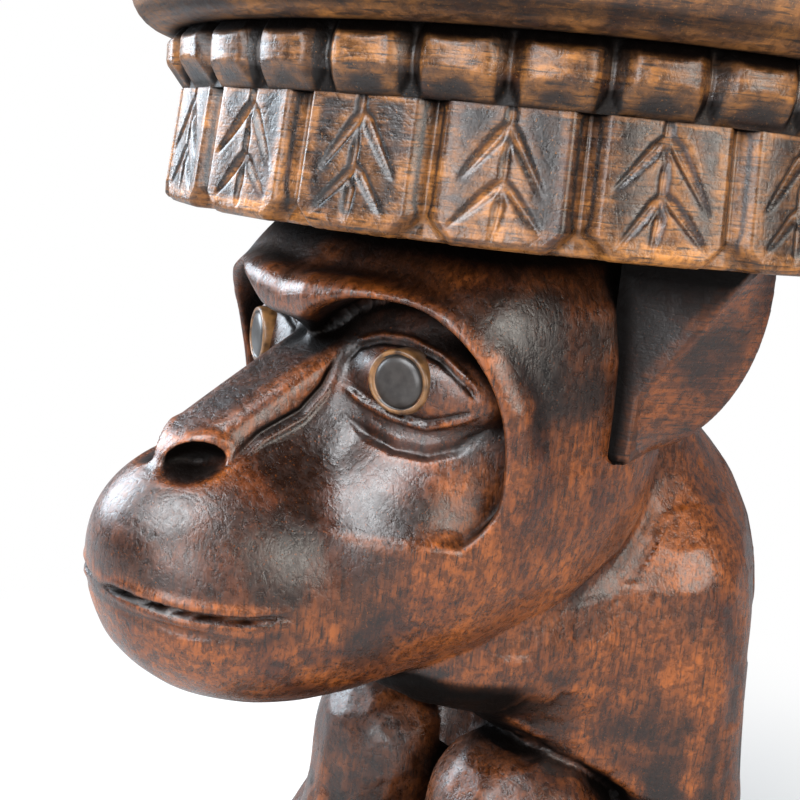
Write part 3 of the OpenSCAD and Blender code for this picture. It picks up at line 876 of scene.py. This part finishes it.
class StoolSettings(bpy.types.PropertyGroup):
    """Sizes and colours that a user would change"""

    skin: FloatProperty(name="Skin", description="Size of the faces on the carved skin",
                        default=1.75 * MM, unit="LENGTH")
    gouge_depth: FloatProperty(name="Gouge depth", description="Depth of the leaf gouges",
                               default=2.2 * MM, unit="LENGTH")
    seed: IntProperty(name="Seed", description="Seed of the hand-cut irregularities", default=5)
    figure_dark: tint("Figure, dark", "Thickest stain on the figure", "#130906")
    figure_brown: tint("Figure, brown", "Common stain on the figure", "#28140b")
    figure_red: tint("Figure, red", "Thin stain on the figure", "#592910")
    figure_ochre: tint("Figure, ochre", "Wood of the figure where it is rubbed bare", "#a95b20")
    crown_dark: tint("Crown, dark", "Thickest stain on the crown", "#0b0604")
    crown_brown: tint("Crown, brown", "Common stain on the crown", "#1f110a")
    crown_red: tint("Crown, red", "Thin stain on the crown", "#50290f")
    crown_ochre: tint("Crown, ochre", "Wood of the crown where it is rubbed bare", "#bf7c36")
    dowel_dark: tint("Dowel, dark", "Darkest grain of the dowels", "#7a5433")
    dowel_brown: tint("Dowel, brown", "Common grain of the dowels", "#a9814f")
    dowel_red: tint("Dowel, light", "Light grain of the dowels", "#b98f5c")
    dowel_ochre: tint("Dowel, pale", "Palest grain of the dowels", "#c9a06c")
    eye_dark: tint("Eye, dark", "Dark grain of the eye plugs", "#241f1c")
    eye_light: tint("Eye, light", "Light grain of the eye plugs", "#3a3532")
    ring_dark: tint("Ring, dark", "Dark grain of the rings round the eyes", "#3f2a1a")
    ring_light: tint("Ring, light", "Light grain of the rings round the eyes", "#94693f")


MOUTH = np.array([(0, 184.2, 237.5), (14.1, 182.2, 238.3), (27.7, 174.6, 237), (37, 165.2, 235.5),
                  (44.8, 153.1, 234.6), (51.5, 138, 235.5)])
# Balls that the figure is carved from, by centre and half sizes
BLANK = [(c, half) for c, half, *_ in (HOOD, SIDE, JAW, MUZZLE, LIP, CHEEK, BACK, NAPE, CHEST, PALM)]
BLANK += [((0, 119, 298), (17, 34, 28)), (EYEBALL[0], (31, 15, 22)), ((60, -42, 226), (28, 28, 28)),
          (ELBOW, (26, 26, 26)), ((67, -48, 180), (27, 30, 50)), ((0, -60, 110), (50, 55, 85)),
          (HIP, (37, 37, 37)), (KNEE, (34, 36, 35)), ((39, -16, 98), (34, 40, 36)),
          ((41, 28, 84), (28, 28, 44)), (SHIN, (24, 24, 24)), ((41, 54, BASE), (24, 47, 26)),
          ((77, -28, 103), (22, 28, 30)), ((80, -5, 76), (20, 26, 28)), (WRIST, (17, 18, 17))]


def detailed(p):
    """Where the skin needs small faces: face, mouth, toes and fingers"""
    _, f, z = side_by_side(p).T
    face = (f > 62) & (z > 256) & (z < 346)
    mouth = (f > 128) & (np.abs(z - 240) < 14)
    return face | mouth | ((f > 44) & (z < 56))


def carve_face(points, normals):
    """Mouth, nostrils, lids, eye bags and the creases of the nose"""
    lower_lid = np.array([(17, 107, 306), (30.6, 102, 300.5), (42.6, 98.7, 297.9), (54.4, 93.6, 296.9),
                          (64.4, 89.1, 301.1), (73, 83.5, 306)])
    upper_lid = np.array([(16, 105, 309), (20.7, 99.9, 318.7), (29.7, 97.3, 322.1), (41.3, 94.2, 323.1),
                          (55.5, 91.6, 320.3), (68, 88.2, 312.7), (74, 82, 303)])
    bag = np.array([(23.9, 107, 295.7), (34.5, 103.4, 290.9), (46.6, 100.7, 288.8), (57, 94.7, 288.7),
                    (64.2, 87.5, 291.7), (71.8, 80.2, 298.6)])
    crease = np.array([(20.5, 150, 279), (19.7, 145.5, 281.9), (18.5, 134.8, 289.1), (18.8, 119.4, 295.9),
                       (18.3, 111, 304), (16, 104, 316)])
    # Cuts, and ridges of a negative depth: path, how far above it, width, depth, share of the tapered ends
    for path, lift, width, depth, ends, sharp in (
            (MOUTH, -7.2, 3.4, 1.2, 0.6, False), (MOUTH, -3.0, 3.4, -1.5, 0.6, False),
            (MOUTH, 2.6, 3.4, -0.8, 0.4, False), (MOUTH, 0, 1.4, 5.0, 0.15, True),
            (upper_lid, 0, 1.8, 1.5, 0.15, True), (upper_lid, 2.4, 2.4, -0.9, 0.2, False),
            (lower_lid, 2.2, 1.5, 1.1, 0.15, True), (lower_lid, 0, 2.4, -1.2, 0.15, False),
            (bag, 0, 3.0, 1.9, 0.2, True), (crease, 0, 2.2, 1.8, 0.15, True),
            (crease, -2.6, 2.0, -0.8, 0.2, False)):
        line = settle(path + (0, 0, lift), body_shape, 6)
        points = gouge(points, normals, line, width, depth, ends, sharp)
    return poke(points, centre=(12.5, 158, 279.5), aim=(-0.70, -0.66, -0.20), along=(0.63, -0.74, 0.23),
                half=(11.0, 6.8), depth=10.0, lip=0.9)


def figure_skin(context):
    """The whole figure as one skin, carved when it is first asked for"""
    if "figure skin" in bpy.data.meshes:
        return bpy.data.meshes["figure skin"]
    bm = carved(BLANK, rough_figure, coarse=3.0, fine=2.0)
    points = mesh_points(bm)
    face = (points[:, 1] > 55) & (points[:, 2] > 250)
    points[face] = sink(points[face], figure_shape, (0, -1, 0))
    place_points(bm, points)
    bm = smoothed(remeshed(bm, context.scene.stool.skin / MM), figure_shape)
    finer(bm, detailed, figure_shape)
    points = mesh_points(bm)
    normals = unit(slope(points, figure_shape))
    rng = np.random.default_rng(context.scene.stool.seed + 4)
    # The chisel shows most on the back, the arms and the knees, and not on the polished face
    _, f, z = points.T
    fair = np.clip(rise(f, 62, 42) + 0.35 * rise(z, 246, 216), 0, 0.8)
    fair = np.where(z < 190, np.clip((z - 56) / 12, 0, 0.9), fair)
    points = chop(points, normals, cell=19, depth=0.6, weight=fair, rng=rng)
    points = carve_face(points, normals)
    # Cuts between the toes and between the fingers
    for shape, places, line in (
            (foot_shape, (31, 36.5, 42, 47.5, 53), ((76, 52), (90, 46), (101, 32), (102, 26))),
            (forearm_shape, (74, 80, 86, 92), ((50, 46), (62, 42), (74, 32), (76, 26)))):
        for x in places:
            path = settle(np.array([(x, f, z) for f, z in line], float), shape, 5)
            points = gouge(points, normals, path, 2.2, 2.4, 0.15)
    place_points(bm, points)
    skin = bpy.data.meshes.new("figure skin")
    bm.to_mesh(skin)
    bm.free()
    wear_marks(skin, figure_wear_shade_and_sheen)
    return skin


def figure_wear_shade_and_sheen(points):
    """The lower face, the outer brow, the shoulders and the back are worn to the wood; the top of the
    forehead is lightened as painted sheen; painted shade darkens the neck under the jaw and the ledge under
    the mouth
    """
    p = side_by_side(points)
    x, f, z = p.T
    head = rise(f, 10, 30) * rise(z, 196, 204)
    # Its last share lightens the top of the forehead: painted sheen, not wear
    face_wear_and_sheen = 0.6 * rise(z, 258, 234) + 0.3 * rise(z, 222, 208) + 0.3 * rise(z, 330, 342)
    side = 1.1 * rise(x, 60, 74) * rise(z, 318, 288)
    away, along = path_distance(p, BROW)
    brow = 0.9 * np.clip(1.4 - away / 9, 0, 1) * rise(along, 0.3, 0.6)
    face = np.maximum(np.maximum(face_wear_and_sheen, side), brow)
    trunk = (0.45 + 0.35 * rise(z, 160, 220)) * rise(f, 45, 15)
    trunk = np.where(z < 160, 0.25, trunk)
    # Painted shade under the jaw, on the neck and the top of the chest
    neck_shade = 0.6 * rise(f, 5, 35) * rise(z, 212, 192) * (z > 155)
    # Painted shade on the ledge under the mouth line
    away, along = path_distance(p, MOUTH - (0, 0, 2.6))
    lip = np.clip(1.6 - away / (3.2 * (1.05 - along)), 0, 1) * (z < 237.5)
    return (head * face + (1 - head) * trunk - neck_shade) * (1 - lip) - 0.25 * lip


def ear_wear_and_shade(points):
    """The outer facet of the ear is worn to the wood; the front plane, which the head keeps from the light,
    gets painted shade
    """
    t = turned(side_by_side(points), *EAR_TURN)
    # Below zero: painted shade on the front plane
    return np.where((ear_facet(t)[0] > 1) & (t[:, 1] < 35.2), 0.7, -0.35)


def saw_blocks(context, wood, blocks):
    """Saws pieces out of the figure: each has a name, the node it stands for, and its boxes"""
    skin = figure_skin(context)
    for name, node, boxes in blocks:
        finish_piece(name, block(skin, boxes), wood, (node,), wear=False)


def left_and_right(name, node, boxes):
    """The blocks of a pair: boxes for the left side, mirrored for the right"""
    other = [((-b[0], *a[1:]), (-a[0], *b[1:])) for a, b in boxes]
    return [("left_" + name, node + "_left", boxes), ("right_" + name, node + "_right", other)]


class STOOL_OT_head(bpy.types.Operator):
    """Carve the figure and saw out the head with the face"""

    bl_idname = "stool.head"
    bl_label = "Head"

    def execute(self, context):
        wood = waxed_wood("carved mahogany, waxed", STANDING, stains(context, "figure"))
        boxes = [((-FAR, FACE_F, NECK_Z), (FAR, FAR, CROWN)), ((-FAR, CHEST_F, LAP_Z), (FAR, FAR, NECK_Z))]
        saw_blocks(context, wood, [("head_carving", "head", boxes)])
        return {"FINISHED"}


class STOOL_OT_trunk(bpy.types.Operator):
    """Saw out the trunk: back, nape, chest and upper arms"""

    bl_idname = "stool.trunk"
    bl_label = "Trunk"

    def execute(self, context):
        wood = waxed_wood("carved mahogany, waxed, trunk", STANDING, stains(context, "figure"))
        boxes = [((-FAR, -FAR, ELBOW_Z), (FAR, LAP_F, CROWN)),
                 ((-HIP_X, -FAR, BASE), (HIP_X, LAP_F, ELBOW_Z)),
                 ((-FAR, -FAR, BASE), (FAR, HAUNCH_F, HAUNCH_Z)),
                 ((-FAR, LAP_F, LAP_Z), (FAR, FACE_F, CROWN)),
                 ((-FAR, FACE_F, LAP_Z), (FAR, CHEST_F, NECK_Z))]
        saw_blocks(context, wood, [("trunk_carving", "torso", boxes)])
        return {"FINISHED"}


class STOOL_OT_legs(bpy.types.Operator):
    """Saw out the thighs, knees and shins"""

    bl_idname = "stool.legs"
    bl_label = "Legs"

    def execute(self, context):
        wood = waxed_wood("carved mahogany, waxed, knees", STANDING, stains(context, "figure"),
                          rub=0.6, facet=0.7)
        boxes = [((0, LAP_F, ANKLE_Z), (HIP_X, FAR, LAP_Z)), ((HIP_X, LAP_F, ELBOW_Z), (FAR, FAR, LAP_Z))]
        saw_blocks(context, wood, left_and_right("leg_carving", "leg", boxes))
        return {"FINISHED"}


class STOOL_OT_feet(bpy.types.Operator):
    """Saw out the feet with their toes"""

    bl_idname = "stool.feet"
    bl_label = "Feet"

    def execute(self, context):
        wood = waxed_wood("carved mahogany, waxed, feet", STANDING, stains(context, "figure"), rub=0.7)
        boxes = [((0, LAP_F, BASE), (PALM_X, FAR, ANKLE_Z))]
        saw_blocks(context, wood, left_and_right("foot_carving", "foot", boxes))
        return {"FINISHED"}


class STOOL_OT_forearms(bpy.types.Operator):
    """Saw out the forearms with the hands laid on the base"""

    bl_idname = "stool.forearms"
    bl_label = "Forearms"

    def execute(self, context):
        wood = waxed_wood("carved mahogany, waxed, arms", STANDING, stains(context, "figure"), rub=0.8)
        boxes = [((HIP_X, -FAR, HAUNCH_Z), (FAR, FAR, ELBOW_Z)),
                 ((HIP_X, HAUNCH_F, ANKLE_Z), (FAR, FAR, HAUNCH_Z)),
                 ((PALM_X, LAP_F, BASE), (FAR, FAR, ANKLE_Z))]
        saw_blocks(context, wood, left_and_right("forearm_carving", "forearm", boxes))
        bpy.data.meshes.remove(figure_skin(context))
        return {"FINISHED"}


class STOOL_OT_ears(bpy.types.Operator):
    """Carve the ears"""

    bl_idname = "stool.ears"
    bl_label = "Ears"

    def execute(self, context):
        wood = waxed_wood("carved mahogany, waxed, ears", LYING, stains(context, "figure"), rub=0.9)
        balls = [((98, 14, 325), (32, 30, 40)), ((96, 14, 370), (38, 30, 36))]
        both = carved(balls, ear_shape, coarse=2.0, fine=1.1)
        for name, side in (("left", 1), ("right", -1)):
            bm = both.copy()
            saw(bm, (side * EAR_X, 0, 0), (side, 0, 0), True)
            saw(bm, (0, 0, CROWN), (0, 0, 1), False)
            finish_piece(name + "_ear_carving", bm, wood, ("ear_" + name,), rubbed=ear_wear_and_shade)
        both.free()
        return {"FINISHED"}


def lathe(profile, steps):
    """A body turned about the upright axis from a profile of radius and height in millimetres"""
    bm = bmesh.new()
    verts = [bm.verts.new((r * MM, 0, z * MM)) for r, z in profile]
    edges = [bm.edges.new(pair) for pair in zip(verts[:-1], verts[1:])]
    bmesh.ops.spin(bm, geom=verts + edges, cent=(0, 0, 0), axis=(0, 0, 1), dvec=(0, 0, 0),
                   angle=TURN, steps=steps, use_merge=True, use_duplicate=False)
    bmesh.ops.remove_doubles(bm, verts=bm.verts, dist=0.01 * MM)
    return bm


# Radius and height of the eye plug, its ring and its dome; inside the middle of the ring it is dark
EYE_PROFILE = [(0, -10), (11.2, -10), (11.2, -1.5), (11.1, 0.0), (10.7, 0.9), (10.0, 1.2), (9.4, 0.9),
               (9.1, -0.6), (8.8, 0.2), (8.2, 0.9), (6.4, 1.4), (3.4, 1.75), (0, 1.85)]
DARK_R = 9.6
EYE_WIDE = 1.1


class STOOL_OT_eyes(bpy.types.Operator):
    """Turn the domed eyes with a pale ring round each"""

    bl_idname = "stool.eyes"
    bl_label = "Eyes"

    def execute(self, context):
        stool = context.scene.stool
        dark = eye_polish("ebonised wood, burnished", stool.eye_dark, stool.eye_light)
        pale = eye_polish("boxwood ring, waxed", stool.ring_dark, stool.ring_light)
        out = settle(np.array([EYE], float), body_shape, 6)[0]
        for name, side in (("left", 1), ("right", -1)):
            bm = lathe(EYE_PROFILE, 64)
            place = Matrix.Translation(Vector(to_mesh(out * (side, 1, 1))))
            aside = Matrix.Rotation(math.radians(side * EYE_TURN), 4, "Z")
            ahead = Matrix.Rotation(math.radians(90), 4, "X")
            wide = Matrix.Diagonal((EYE_WIDE, 1, 1, 1))
            bmesh.ops.transform(bm, matrix=place @ (aside @ ahead) @ wide, verts=bm.verts)
            for face in bm.faces:
                mid = face.calc_center_median() - place.translation
                face.material_index = int(mid.length > DARK_R * MM)
            dome = finish_piece(name + "_eye_dome", bm, dark, ("eye_" + name,), wear=False)
            dome.data.materials.append(pale)
        return {"FINISHED"}


def ring_grid(count, columns, rows):
    """A flat grid for a ring of like blocks, with each vertex's block by number, its angle from the
    middle of the block, and its height from 0 to 1"""
    bm = bmesh.new()
    bmesh.ops.create_grid(bm, x_segments=count * columns, y_segments=rows, size=0.5)
    flat = np.array([v.co[:] for v in bm.verts], float)
    turn = (flat[:, 0] + 0.5) * count
    number = np.minimum(turn.astype(int), count - 1)
    return bm, number, (turn - number - 0.5) * (TURN / count), flat[:, 1] + 0.5


def bend(bm, angle, radius, z):
    """Puts the grid's vertices at an angle, radius and height and closes the seam and both ends"""
    for vert, a, r, h in zip(bm.verts, angle, radius, z):
        vert.co = (r * math.cos(a) * MM, r * math.sin(a) * MM, h * MM)
    bmesh.ops.remove_doubles(bm, verts=bm.verts, dist=0.002 * MM)
    bmesh.ops.holes_fill(bm, edges=[e for e in bm.edges if e.is_boundary], sides=0)


def soft_min(*values, k):
    """The least of several heights, the corners rounded by k"""
    low = values[0]
    for value in values[1:]:
        low = blend(low, value, k)
    return low


def leaf_rubbed(points):
    """The lower edge of the leaf course is worn to the wood"""
    return 0.12 + 0.75 * np.clip((CROWN + 8 - points[:, 2]) / 5, 0, 1)


# The leaf on a panel: ends of each gouge across and up, as shares of half the width and of the height,
# and its width in mm
LEAF_CUTS = (((0, 1.0), (0, 0.66), 2.2), ((0, 0.86), (-0.60, 0.46), 2.6), ((0, 0.86), (0.58, 0.42), 2.6),
             ((0, 0.70), (-0.02, 0.10), 1.9), ((0, 0.46), (-0.60, 0.12), 2.4),
             ((0, 0.46), (0.56, 0.12), 2.3), ((0, 0.34), (-0.02, 0.06), 2.3))
# The lowest share of the rows runs in under the leaf course, as far as this
UNDER_SHARE, UNDER_REACH = 0.09, 34


def leaf_gouges(s, z, high, depth, dents):
    """Depth of the leaf at places across and up a panel; the dents make each leaf a little different"""
    wide = PANEL_LOW_R * math.tan(TURN / PANELS / 2)
    cut = np.zeros(len(s))
    for i, (a, b, w) in enumerate(LEAF_CUTS):
        ax = a[0] * wide + dents[:, i % 3] * 0.4
        az = a[1] * high + 1.5
        bx = b[0] * wide + dents[:, i] * 1.1
        bz = b[1] * high + dents[:, (i + 4) % 12] * 1.0
        dx, dz = bx - ax, bz - az
        k = np.clip(((s - ax) * dx + (z - az) * dz) / (dx * dx + dz * dz), 0, 1)
        away = np.hypot(s - ax - k * dx, z - az - k * dz)
        width = w * (1.0 - k) ** 0.45 * np.clip(0.45 + 3 * k, 0, 1)
        groove = np.clip(1 - away / np.maximum(width, 0.05), 0, 1)
        cut = np.maximum(cut, depth * (width / 2.4) * groove)
    return cut


class STOOL_OT_leaves(bpy.types.Operator):
    """Cut the course of leaf panels"""

    bl_idname = "stool.leaves"
    bl_label = "Leaf course"

    def execute(self, context):
        wood = waxed_wood("carved mahogany, waxed, leaf course", LYING, stains(context, "crown"),
                          facet=0.2, gloss=0.3, hollows=1.0)
        rng = np.random.default_rng(context.scene.stool.seed)
        depth = context.scene.stool.gouge_depth / MM
        bm, number, s_angle, v = ring_grid(PANELS, 56, 58)
        step = TURN / PANELS
        h = BEAD - CROWN
        t = np.clip((v * 1.10 - 0.10), 0, 1)
        z = t * h
        flat_r = PANEL_LOW_R + (PANEL_TOP_R - PANEL_LOW_R) * t
        s = np.tan(s_angle) * flat_r
        half = flat_r * math.tan(step / 2)
        # Slopes down to the V grooves, the lower corners and the foot of the panel
        side = (half - np.abs(s)) * 1.15 - 6.0
        corner = (z + (half - np.abs(s)) - 11.0) * 1.6 - 1.0
        foot = (z - 2.0) * 1.1
        dents = rng.normal(0, 1, (PANELS, 12))[number]
        face = 0.15 * np.sin(s * 0.35 + dents[:, 3]) - leaf_gouges(s, z, h, depth, dents)
        out = np.maximum(soft_min(face, side, corner, foot, k=0.6), -7.5)
        radius = (flat_r + out) / np.cos(s_angle)
        radius -= np.maximum(UNDER_SHARE - v, 0) / UNDER_SHARE * UNDER_REACH
        angle = math.radians(PANEL_TURN - 90) + (number + 0.5) * step + s_angle
        bend(bm, angle, radius, CROWN + z)
        finish_piece("leaf_carving", bm, wood, ("leaf_course",), rubbed=leaf_rubbed)
        return {"FINISHED"}


def bead_wear_and_shade(points):
    """The beads are rubbed a little, like the rest; their lower faces get painted shade instead"""
    return 0.3 - 0.65 * np.clip(((BEAD + SEAT) / 2 - 1 - points[:, 2]) / 3, 0, 1)


class STOOL_OT_beads(bpy.types.Operator):
    """Cut the course of bead blocks"""

    bl_idname = "stool.beads"
    bl_label = "Bead course"

    def execute(self, context):
        wood = waxed_wood("carved mahogany, waxed, bead course", LYING, stains(context, "crown"),
                          rub=0.9, facet=0.25, gloss=0.3)
        rng = np.random.default_rng(context.scene.stool.seed + 1)
        bm, number, s_angle, v = ring_grid(BEADS, 30, 26)
        step = TURN / BEADS
        h = SEAT - BEAD
        z = v * h
        s = s_angle * (BEAD_R + 4)
        half = (BEAD_R + 4) * step / 2
        tilt, slant, aside, lean = rng.normal(0, 1, (BEADS, 4))[number].T
        # Each bead is a block with bowed sides, a flat front and hipped lower and upper faces
        bow = 1.0 - 0.25 * ((z - 0.55 * h) / (0.5 * h)) ** 2
        side = (half * bow - np.abs(s + aside * 0.4)) * 1.05 + 1.2
        front = BEAD_PROUD - 0.4 + tilt * 0.02 * s - 0.012 * s * s
        lower = 0.6 + (z + slant * 0.6 + lean * 0.03 * s) * 0.8
        upper = 3.2 + (h - z) * 0.85
        radius = BEAD_R + np.maximum(soft_min(side, front, lower, upper, k=0.5), 0.3)
        angle = math.radians(BEAD_TURN - 90) + (number + 0.5) * step + s_angle
        bend(bm, angle, radius, BEAD + z)
        finish_piece("bead_carving", bm, wood, ("bead_course",), rubbed=bead_wear_and_shade)
        return {"FINISHED"}


def turned_disc(profile, steps, wobble, rng):
    """A disc turned from a profile of radius and height, with a hand-worked unevenness"""
    bm = lathe(profile, steps)
    waves = [(n, rng.uniform(0, TURN), wobble * rng.uniform(0.3, 1.0)) for n in (3, 5, 8, 13)]
    for vert in bm.verts:
        r = math.hypot(vert.co.x, vert.co.y)
        if r > 20 * MM:
            a = math.atan2(vert.co.y, vert.co.x)
            out = -sum(size * (0.5 + 0.5 * math.sin(n * a + start)) for n, start, size in waves) * MM / 2
            vert.co.x *= (r + out) / r
            vert.co.y *= (r + out) / r
    return bm


def rounded(points, low, high, radius, edge, steps=8):
    """Profile of a slab from its underside's middle to its top's middle, both rims rounded"""
    rows = [(r, low) for r in np.linspace(0, radius - edge, points)]
    rows += [(radius - edge + edge * math.sin(a), low + edge - edge * math.cos(a))
             for a in np.linspace(0, math.pi / 2, steps)[1:]]
    rows += [(radius - edge + edge * math.cos(a), high - edge + edge * math.sin(a))
             for a in np.linspace(0, math.pi / 2, steps)]
    rows += [(r, high) for r in np.linspace(radius - edge, 0, points)[1:]]
    return [row for i, row in enumerate(rows) if i == 0 or math.dist(row, rows[i - 1]) > 0.01]


class STOOL_OT_seat(bpy.types.Operator):
    """Turn the seat slab"""

    bl_idname = "stool.seat"
    bl_label = "Seat slab"

    def execute(self, context):
        # The grain of the plank lies level; hands keep its edge smooth and its wax dull
        wood = waxed_wood("plank of mahogany, waxed", LYING, stains(context, "crown"),
                          rub=0.8, facet=0.15, gloss=0.5)
        rng = np.random.default_rng(context.scene.stool.seed + 2)
        bm = turned_disc(rounded(24, SEAT, TOP, SEAT_R, edge=13.9), steps=288, wobble=0.5, rng=rng)
        finish_piece("seat_turning", bm, wood, ("seat_slab",))
        return {"FINISHED"}


class STOOL_OT_base(bpy.types.Operator):
    """Turn the base"""

    bl_idname = "stool.base"
    bl_label = "Base"

    def execute(self, context):
        # Duller than the figure, as nobody touches it
        wood = waxed_wood("block of mahogany, waxed", LYING, stains(context, "crown"),
                          rub=0.7, facet=0.3, gloss=0.42)
        rng = np.random.default_rng(context.scene.stool.seed + 3)
        bm = turned_disc(rounded(20, 0, BASE, BASE_R, edge=5), steps=256, wobble=0.6, rng=rng)
        finish_piece("base_turning", bm, wood, ("base",))
        return {"FINISHED"}


class STOOL_OT_dowels(bpy.types.Operator):
    """Give the hidden dowels and pegs their plain wood"""

    bl_idname = "stool.dowels"
    bl_label = "Dowels"

    def execute(self, context):
        # Pale wood with a faint even grain, never worn
        wood = waxed_wood("beech dowel, planed", STANDING, stains(context, "dowel"),
                          rub=0.3, facet=0.0, gloss=0.5, worn=False)
        for name in ("ring_dowels", "post_dowels", "face_dowels", "ear_pegs", "base_dowels", "limb_pegs"):
            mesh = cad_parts[name].data
            mesh.materials.clear()
            mesh.materials.append(wood)
        return {"FINISHED"}


# The photograph's camera: its place in mm, its yaw, pitch and roll in degrees from the stool's front left,
# and its focal length as a share of the picture's width
CAMERA = (334.0, -334.0, 384.1)
CAMERA_TURN = (-5.8075, -12.0224, 5.6028)
FOCAL_SHARE = 1128.43 / 800


# Lamps by name, place and size in metres, power in watts and colour, aimed at the middle of the stool
LAMPS = (("sky", (0.10, -1.20, 1.55), 1.3, 50, (0.95, 0.97, 1.0)),
         ("front", (0.8, -1.50, 0.55), 0.8, 12, (0.97, 0.98, 1.0)),
         ("window", (-1.45, -0.70, 0.80), 1.0, 30, (0.80, 0.90, 1.0)),
         ("warm", (1.50, 0.10, 0.75), 0.9, 14, (1.0, 0.94, 0.86)))
LAMP_AIM = Vector((0, 0, 0.28))


def studio_world():
    """A soft cool sky, which the camera sees as white"""
    world = bpy.data.worlds.new("studio")
    world.use_nodes = True
    tree = world.node_tree
    tree.nodes.clear()
    rays = put(tree, "ShaderNodeLightPath")
    seen = sums(tree, "MAXIMUM", rays.outputs["Is Camera Ray"], rays.outputs["Is Transmission Ray"])
    soft = put(tree, "ShaderNodeBackground", {"Color": (0.88, 0.94, 1.0, 1), "Strength": 0.26})
    white = put(tree, "ShaderNodeBackground", {"Color": (1, 1, 1, 1), "Strength": 1.0})
    both = put(tree, "ShaderNodeMixShader", {0: seen, 1: soft.outputs[0], 2: white.outputs[0]})
    put(tree, "ShaderNodeOutputWorld", {"Surface": both.outputs[0]})
    return world


def disc_lamp(name, place, size, power, colour):
    """A round soft lamp"""
    lamp = bpy.data.lights.new(name, "AREA")
    lamp.shape = "DISK"
    lamp.size = size
    lamp.energy = power
    lamp.color = colour
    obj = bpy.data.objects.new(name, lamp)
    obj.location = place
    obj.rotation_mode = "QUATERNION"
    obj.rotation_quaternion = (LAMP_AIM - Vector(place)).to_track_quat("-Z", "Y")
    return obj


def photo_camera():
    """The camera of the photograph"""
    cam = bpy.data.cameras.new("photo view")
    cam.sensor_fit = "HORIZONTAL"
    cam.sensor_width = 36
    cam.lens = cam.sensor_width * FOCAL_SHARE
    cam.clip_start, cam.clip_end = 0.01, 50
    view = bpy.data.objects.new("photo view", cam)
    yaw, pitch, roll = (math.radians(a) for a in CAMERA_TURN)
    ahead = Vector((math.sin(yaw) * math.cos(pitch), math.cos(yaw) * math.cos(pitch), math.sin(pitch)))
    right = Vector((math.cos(yaw), -math.sin(yaw), 0))
    up = right.cross(ahead)
    right, up = right * math.cos(roll) + up * math.sin(roll), up * math.cos(roll) - right * math.sin(roll)
    axes = Matrix((right, up, -ahead)).transposed()
    view.matrix_world = (Matrix.Translation(Vector(CAMERA) * MM)
                         @ (Matrix.Rotation(math.radians(45), 3, "Z") @ axes).to_4x4())
    return view


class STOOL_OT_stage(bpy.types.Operator):
    """Set up floor, lamps, world and camera"""

    bl_idname = "stool.stage"
    bl_label = "Stage"

    def execute(self, context):
        scene = context.scene
        bm = bmesh.new()
        bmesh.ops.create_grid(bm, x_segments=1, y_segments=1, size=6)
        mesh = bpy.data.meshes.new("floor")
        bm.to_mesh(mesh)
        bm.free()
        floor = bpy.data.objects.new("floor", mesh)
        floor.data.materials.append(stage_paint("pale studio board", 0.9))
        scene.collection.objects.link(floor)
        for lamp in LAMPS:
            scene.collection.objects.link(disc_lamp(*lamp))
        scene.world = studio_world()
        scene.camera = photo_camera()
        scene.collection.objects.link(scene.camera)
        scene.view_settings.view_transform = "Standard"
        return {"FINISHED"}


class STOOL_PT_parts(bpy.types.Panel):
    """Lists the parts of the stool"""

    bl_idname = "STOOL_PT_parts"
    bl_label = "Carved stool"
    bl_space_type = "VIEW_3D"
    bl_region_type = "UI"
    bl_category = "Stool"

    def draw(self, context):
        for name in StoolSettings.__annotations__:
            self.layout.prop(context.scene.stool, name)
        for part in PARTS:
            self.layout.operator(part.bl_idname)


PARTS = (STOOL_OT_seat, STOOL_OT_beads, STOOL_OT_leaves, STOOL_OT_head, STOOL_OT_trunk, STOOL_OT_legs,
         STOOL_OT_feet, STOOL_OT_forearms, STOOL_OT_ears, STOOL_OT_eyes, STOOL_OT_base, STOOL_OT_dowels,
         STOOL_OT_stage)


def register():
    for made in (StoolSettings, *PARTS, STOOL_PT_parts):
        bpy.utils.register_class(made)
    bpy.types.Scene.stool = PointerProperty(type=StoolSettings)


def unregister():
    del bpy.types.Scene.stool
    for made in reversed((StoolSettings, *PARTS, STOOL_PT_parts)):
        bpy.utils.unregister_class(made)


def main():
    """Builds every part in order"""
    register()
    for part in PARTS:
        group, name = part.bl_idname.split(".")
        getattr(getattr(bpy.ops, group), name)()


if __name__ == "__main__":
    main()
